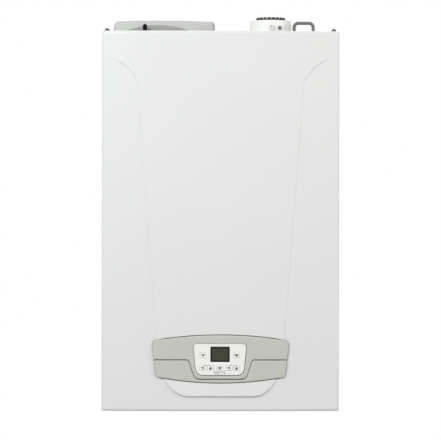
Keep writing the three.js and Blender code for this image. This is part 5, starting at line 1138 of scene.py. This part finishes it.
# Burning side
# Cast aluminium drum with its door, fan, mixer and gas valve; inside, a stainless coil and burner tube with a
# ceramic electrode. A black moulded pipe brings the air, and white polypropylene takes the flue gas out.
cast = surface_finish("as_cast_aluminium", ("B4B6B8", "A6A9AB"), 26.0, (0.42, 0.58), 1.4, 0.09, metallic=0.9)
stainless = surface_finish("rolled_stainless_steel", ("B9BABB", "C3C4C4"), 50.0, (0.22, 0.34), 0.9, 0.005,
                           stretch=(0.04, 1, 1), metallic=1.0)
ceramic = surface_finish("glazed_alumina_ceramic", ("EDE9DF", "F2EFE7"), 12.0, (0.2, 0.3), 1.0, 0.01,
                         coat_weight=0.4)
for node, bevel in (("exchanger_housing", 0.001), ("burner_door", 0.001), ("fan_housing", 0.0012),
                    ("gas_mixer", 0.0008), ("gas_valve", 0.0008), ("fan_impeller", 0.0003)):
    dressed(node, cast, bevel)
for node in ("exchanger_coil", "burner"):
    dressed(node, stainless, 0.0003, crease=50)
dressed("ignition_electrode", ceramic, 0.0002, crease=50)
for node in ("fan_motor", "air_intake_pipe"):
    dressed(node, black_nylon, 0.0006, crease=46)
dressed("flue_elbow", white_pp, 0.0006, crease=46)

# Water side
# Forged brass manifolds with the pump and the diverter motor on them, a brazed stainless plate exchanger,
# drawn copper pipes and a white moulded condensate trap. The gas pipe's union nut is brass.
copper = surface_finish("drawn_copper_pipe", ("C48A64", "A66B48"), 45.0, (0.2, 0.38), 1.2, 0.004,
                        metallic=1.0)
union_height = 0.0161
for node in ("flow_manifold", "return_manifold"):
    dressed(node, brass, 0.0007)
for node in ("flow_pipe", "return_pipe", "vessel_pipe"):
    dressed(node, copper, 0.0002, crease=50)
gas_pipe = dressed("gas_pipe", copper, 0.0002, crease=50)
gas_pipe.data.materials.append(brass)
nut_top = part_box("gas_pipe")[0].z + union_height
for face in gas_pipe.data.polygons:
    face.material_index = int(face.center.z < nut_top)
for node in ("pump_motor", "diverter_motor"):
    dressed(node, black_nylon, 0.001)
dressed("plate_exchanger", stainless, 0.0008)
dressed("condensate_trap", white_pp, 0.0006, crease=46)

# Pieces for the user underneath
# A pressure gauge that reads from below, with a printed dial, a red needle and a clear window, a red relief
# knob and a black filling knob, both moulded with finger grooves.
red_abs = surface_finish("moulded_red_abs", ("A62B20", "B03226"), 14.0, (0.35, 0.45), 0.9, 0.012)
dial_white = surface_finish("white_lacquered_dial", ("F0F0EC", "F4F4F1"), 10.0, (0.35, 0.45), 0.8, 0.003)
dial_black = surface_finish("black_dial_print", ("141414", "1B1B1B"), 6.0, (0.5, 0.6), 0.5, 0.002)
clear_window = surface_finish("clear_polystyrene_window", ("F8FAFA", "FCFDFD"), 20.0, (0.02, 0.05), 2.0,
                              0.0005, transmission_weight=1.0, ior=1.59)
dressed("relief_valve_knob", red_abs, 0.0008)
dressed("filling_knob", black_nylon, 0.0008)
dressed("pressure_gauge", black_nylon, 0.0004, crease=46)
dressed("gauge_needle", red_abs, 0.0001)
gauge_at = Vector((*centre("pressure_gauge")[:2], 0))
dial_radius, dial_bore, dial_print, dial_gap = 0.0177, 0.001, 0.00008, 0.0003
dial_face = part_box("gauge_needle")[1].z + dial_gap - dial_print
dial = turned("gauge_dial", [(dial_bore, dial_face), (dial_radius, dial_face),
                             (dial_radius, dial_face + dial_print), (dial_bore, dial_face + dial_print)],
              gauge_at, dial_white, sides=96, ring=True)
fitted(dial, "chassis")
# The scale runs from 0 to 4 bar over 270 degrees, with a long line and a number at each whole bar.
scale_turn, bars, parts_a_bar, number_height = math.radians(135), 4, 5, 0.0042
line_outer, line_long, line_short, line_width, number_at = 0.0168, 0.0032, 0.0018, 0.0004, 0.0102
scale = []
for i in range(bars * parts_a_bar + 1):
    angle = -scale_turn + 2 * scale_turn * i / (bars * parts_a_bar)
    whole = i % parts_a_bar == 0
    length = line_long if whole else line_short
    mark = boxed("scale_line", (-line_width / 2, line_outer - length, 0),
                 (line_width / 2, line_outer, dial_print), dial_black)
    mark.data.transform(Matrix.Translation(gauge_at + Vector((0, 0, dial_face - dial_print)))
                        @ Matrix.Rotation(angle, 4, "Z"))
    scale.append(mark)
    if whole:
        words = bpy.data.curves.new("number", "FONT")
        words.body, words.size, words.extrude = str(i // parts_a_bar), number_height, dial_print / 2
        words.align_x, words.align_y = "CENTER", "CENTER"
        number = meshed_curve("number", words, dial_black)
        spot = gauge_at + Vector((-math.sin(angle) * number_at, math.cos(angle) * number_at, dial_face))
        number.data.transform(Matrix.Translation(spot) @ Matrix.Rotation(math.pi, 4, "Y"))
        scale.append(number)
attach(joined("gauge_scale", scale, dial_black), "chassis")
window_thick, window_radius, window_round = 0.0008, 0.0179, 0.0002
window_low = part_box("pressure_gauge")[0].z + seat_gap
window_line = [(0, window_low), (window_radius, window_low), (window_radius, window_low + window_thick),
               (0, window_low + window_thick)]
pane = turned("gauge_window", eased(window_line, window_round), gauge_at, clear_window, sides=96)
fitted(pane, "chassis")

# Studio
# A white room: one large soft lamp above and to the left of the front, a weaker one to the right, a pale
# floor under the boiler that fades out round it, and a white backdrop seen by the camera and in reflections.
floor_drop, floor_size, floor_white, fade_from, fade_to = 2.4, 4.0, 0.55, 0.8, 1.7
pale = surface_finish("pale_matt_floor_paint", ("E4E5E4", "E8E9E8"), 400.0, (0.65, 0.75), 4.0, 0.05)
tree = pale.node_tree
rays = add_node(tree, "ShaderNodeLightPath", {}, {})
white = add_node(tree, "ShaderNodeEmission", {"Color": linear("FFFFFF"), "Strength": 1.0}, {})
seen = add_node(tree, "ShaderNodeMath", {"operation": "MULTIPLY", 1: floor_white},
                {0: rays.outputs["Is Camera Ray"]})
blend = add_node(tree, "ShaderNodeMixShader", {},
                 {0: seen.outputs[0], 1: tree.nodes["Principled BSDF"].outputs[0], 2: white.outputs[0]})
place = add_node(tree, "ShaderNodeTexCoord", {}, {}).outputs["Object"]
across = add_node(tree, "ShaderNodeVectorMath", {"operation": "MULTIPLY", 1: (1, 1, 0)}, {0: place})
away = add_node(tree, "ShaderNodeVectorMath", {"operation": "LENGTH"}, {0: across.outputs[0]})
fade = add_node(tree, "ShaderNodeMapRange", {"interpolation_type": "SMOOTHSTEP", "From Min": fade_from,
                                             "From Max": fade_to}, {"Value": away.outputs["Value"]})
clear = add_node(tree, "ShaderNodeBsdfTransparent", {}, {})
faded = add_node(tree, "ShaderNodeMixShader", {},
                 {0: fade.outputs["Result"], 1: blend.outputs[0], 2: clear.outputs[0]})
tree.links.new(faded.outputs[0], tree.nodes["Material Output"].inputs["Surface"])
floor_build = bmesh.new()
bmesh.ops.create_grid(floor_build, x_segments=8, y_segments=8, size=floor_size / 2)
for vert in floor_build.verts:
    vert.co.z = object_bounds()[0][2] - floor_drop
built("floor", floor_build, pale)

world = bpy.data.worlds.new("studio")
bpy.context.scene.world = world
world.use_nodes = True
tree = world.node_tree
tree.nodes.clear()
rays = add_node(tree, "ShaderNodeLightPath", {}, {})
room = add_node(tree, "ShaderNodeBackground", {"Color": linear("F8F8F9"), "Strength": 0.49}, {})
backdrop = add_node(tree, "ShaderNodeBackground", {"Color": linear("FFFFFF"), "Strength": 1.0}, {})
bright = rays.outputs["Is Camera Ray"]
for kind in ("Is Transmission Ray", "Is Glossy Ray"):
    either = add_node(tree, "ShaderNodeMath", {"operation": "MAXIMUM"}, {0: bright, 1: rays.outputs[kind]})
    bright = either.outputs[0]
choice = add_node(tree, "ShaderNodeMixShader", {}, {0: bright, 1: room.outputs[0], 2: backdrop.outputs[0]})
add_node(tree, "ShaderNodeOutputWorld", {}, {"Surface": choice.outputs[0]})

lamp_aim = Vector((0, -0.2, -0.25))
for name, place, power, size, colour in (
    ("key_softbox", (-1.45, -2.4, 1.2), 53.0, 1.5, "F9FBFA"),
    ("fill_softbox", (2.2, -1.5, 0.3), 20.0, 2.0, "FFFDF8"),
    ("back_softbox", (0.8, 2.6, 1.6), 16.0, 1.8, "FFFFFF"),
):
    lamp_data = bpy.data.lights.new(name, "AREA")
    lamp_data.energy, lamp_data.size, lamp_data.color = power, size, linear(colour)[:3]
    lamp = bpy.data.objects.new(name, lamp_data)
    lamp.location = place
    lamp.rotation_euler = (lamp_aim - Vector(place)).to_track_quat("-Z", "Y").to_euler()
    bpy.context.scene.collection.objects.link(lamp)
bpy.context.scene.view_settings.view_transform = "Standard"
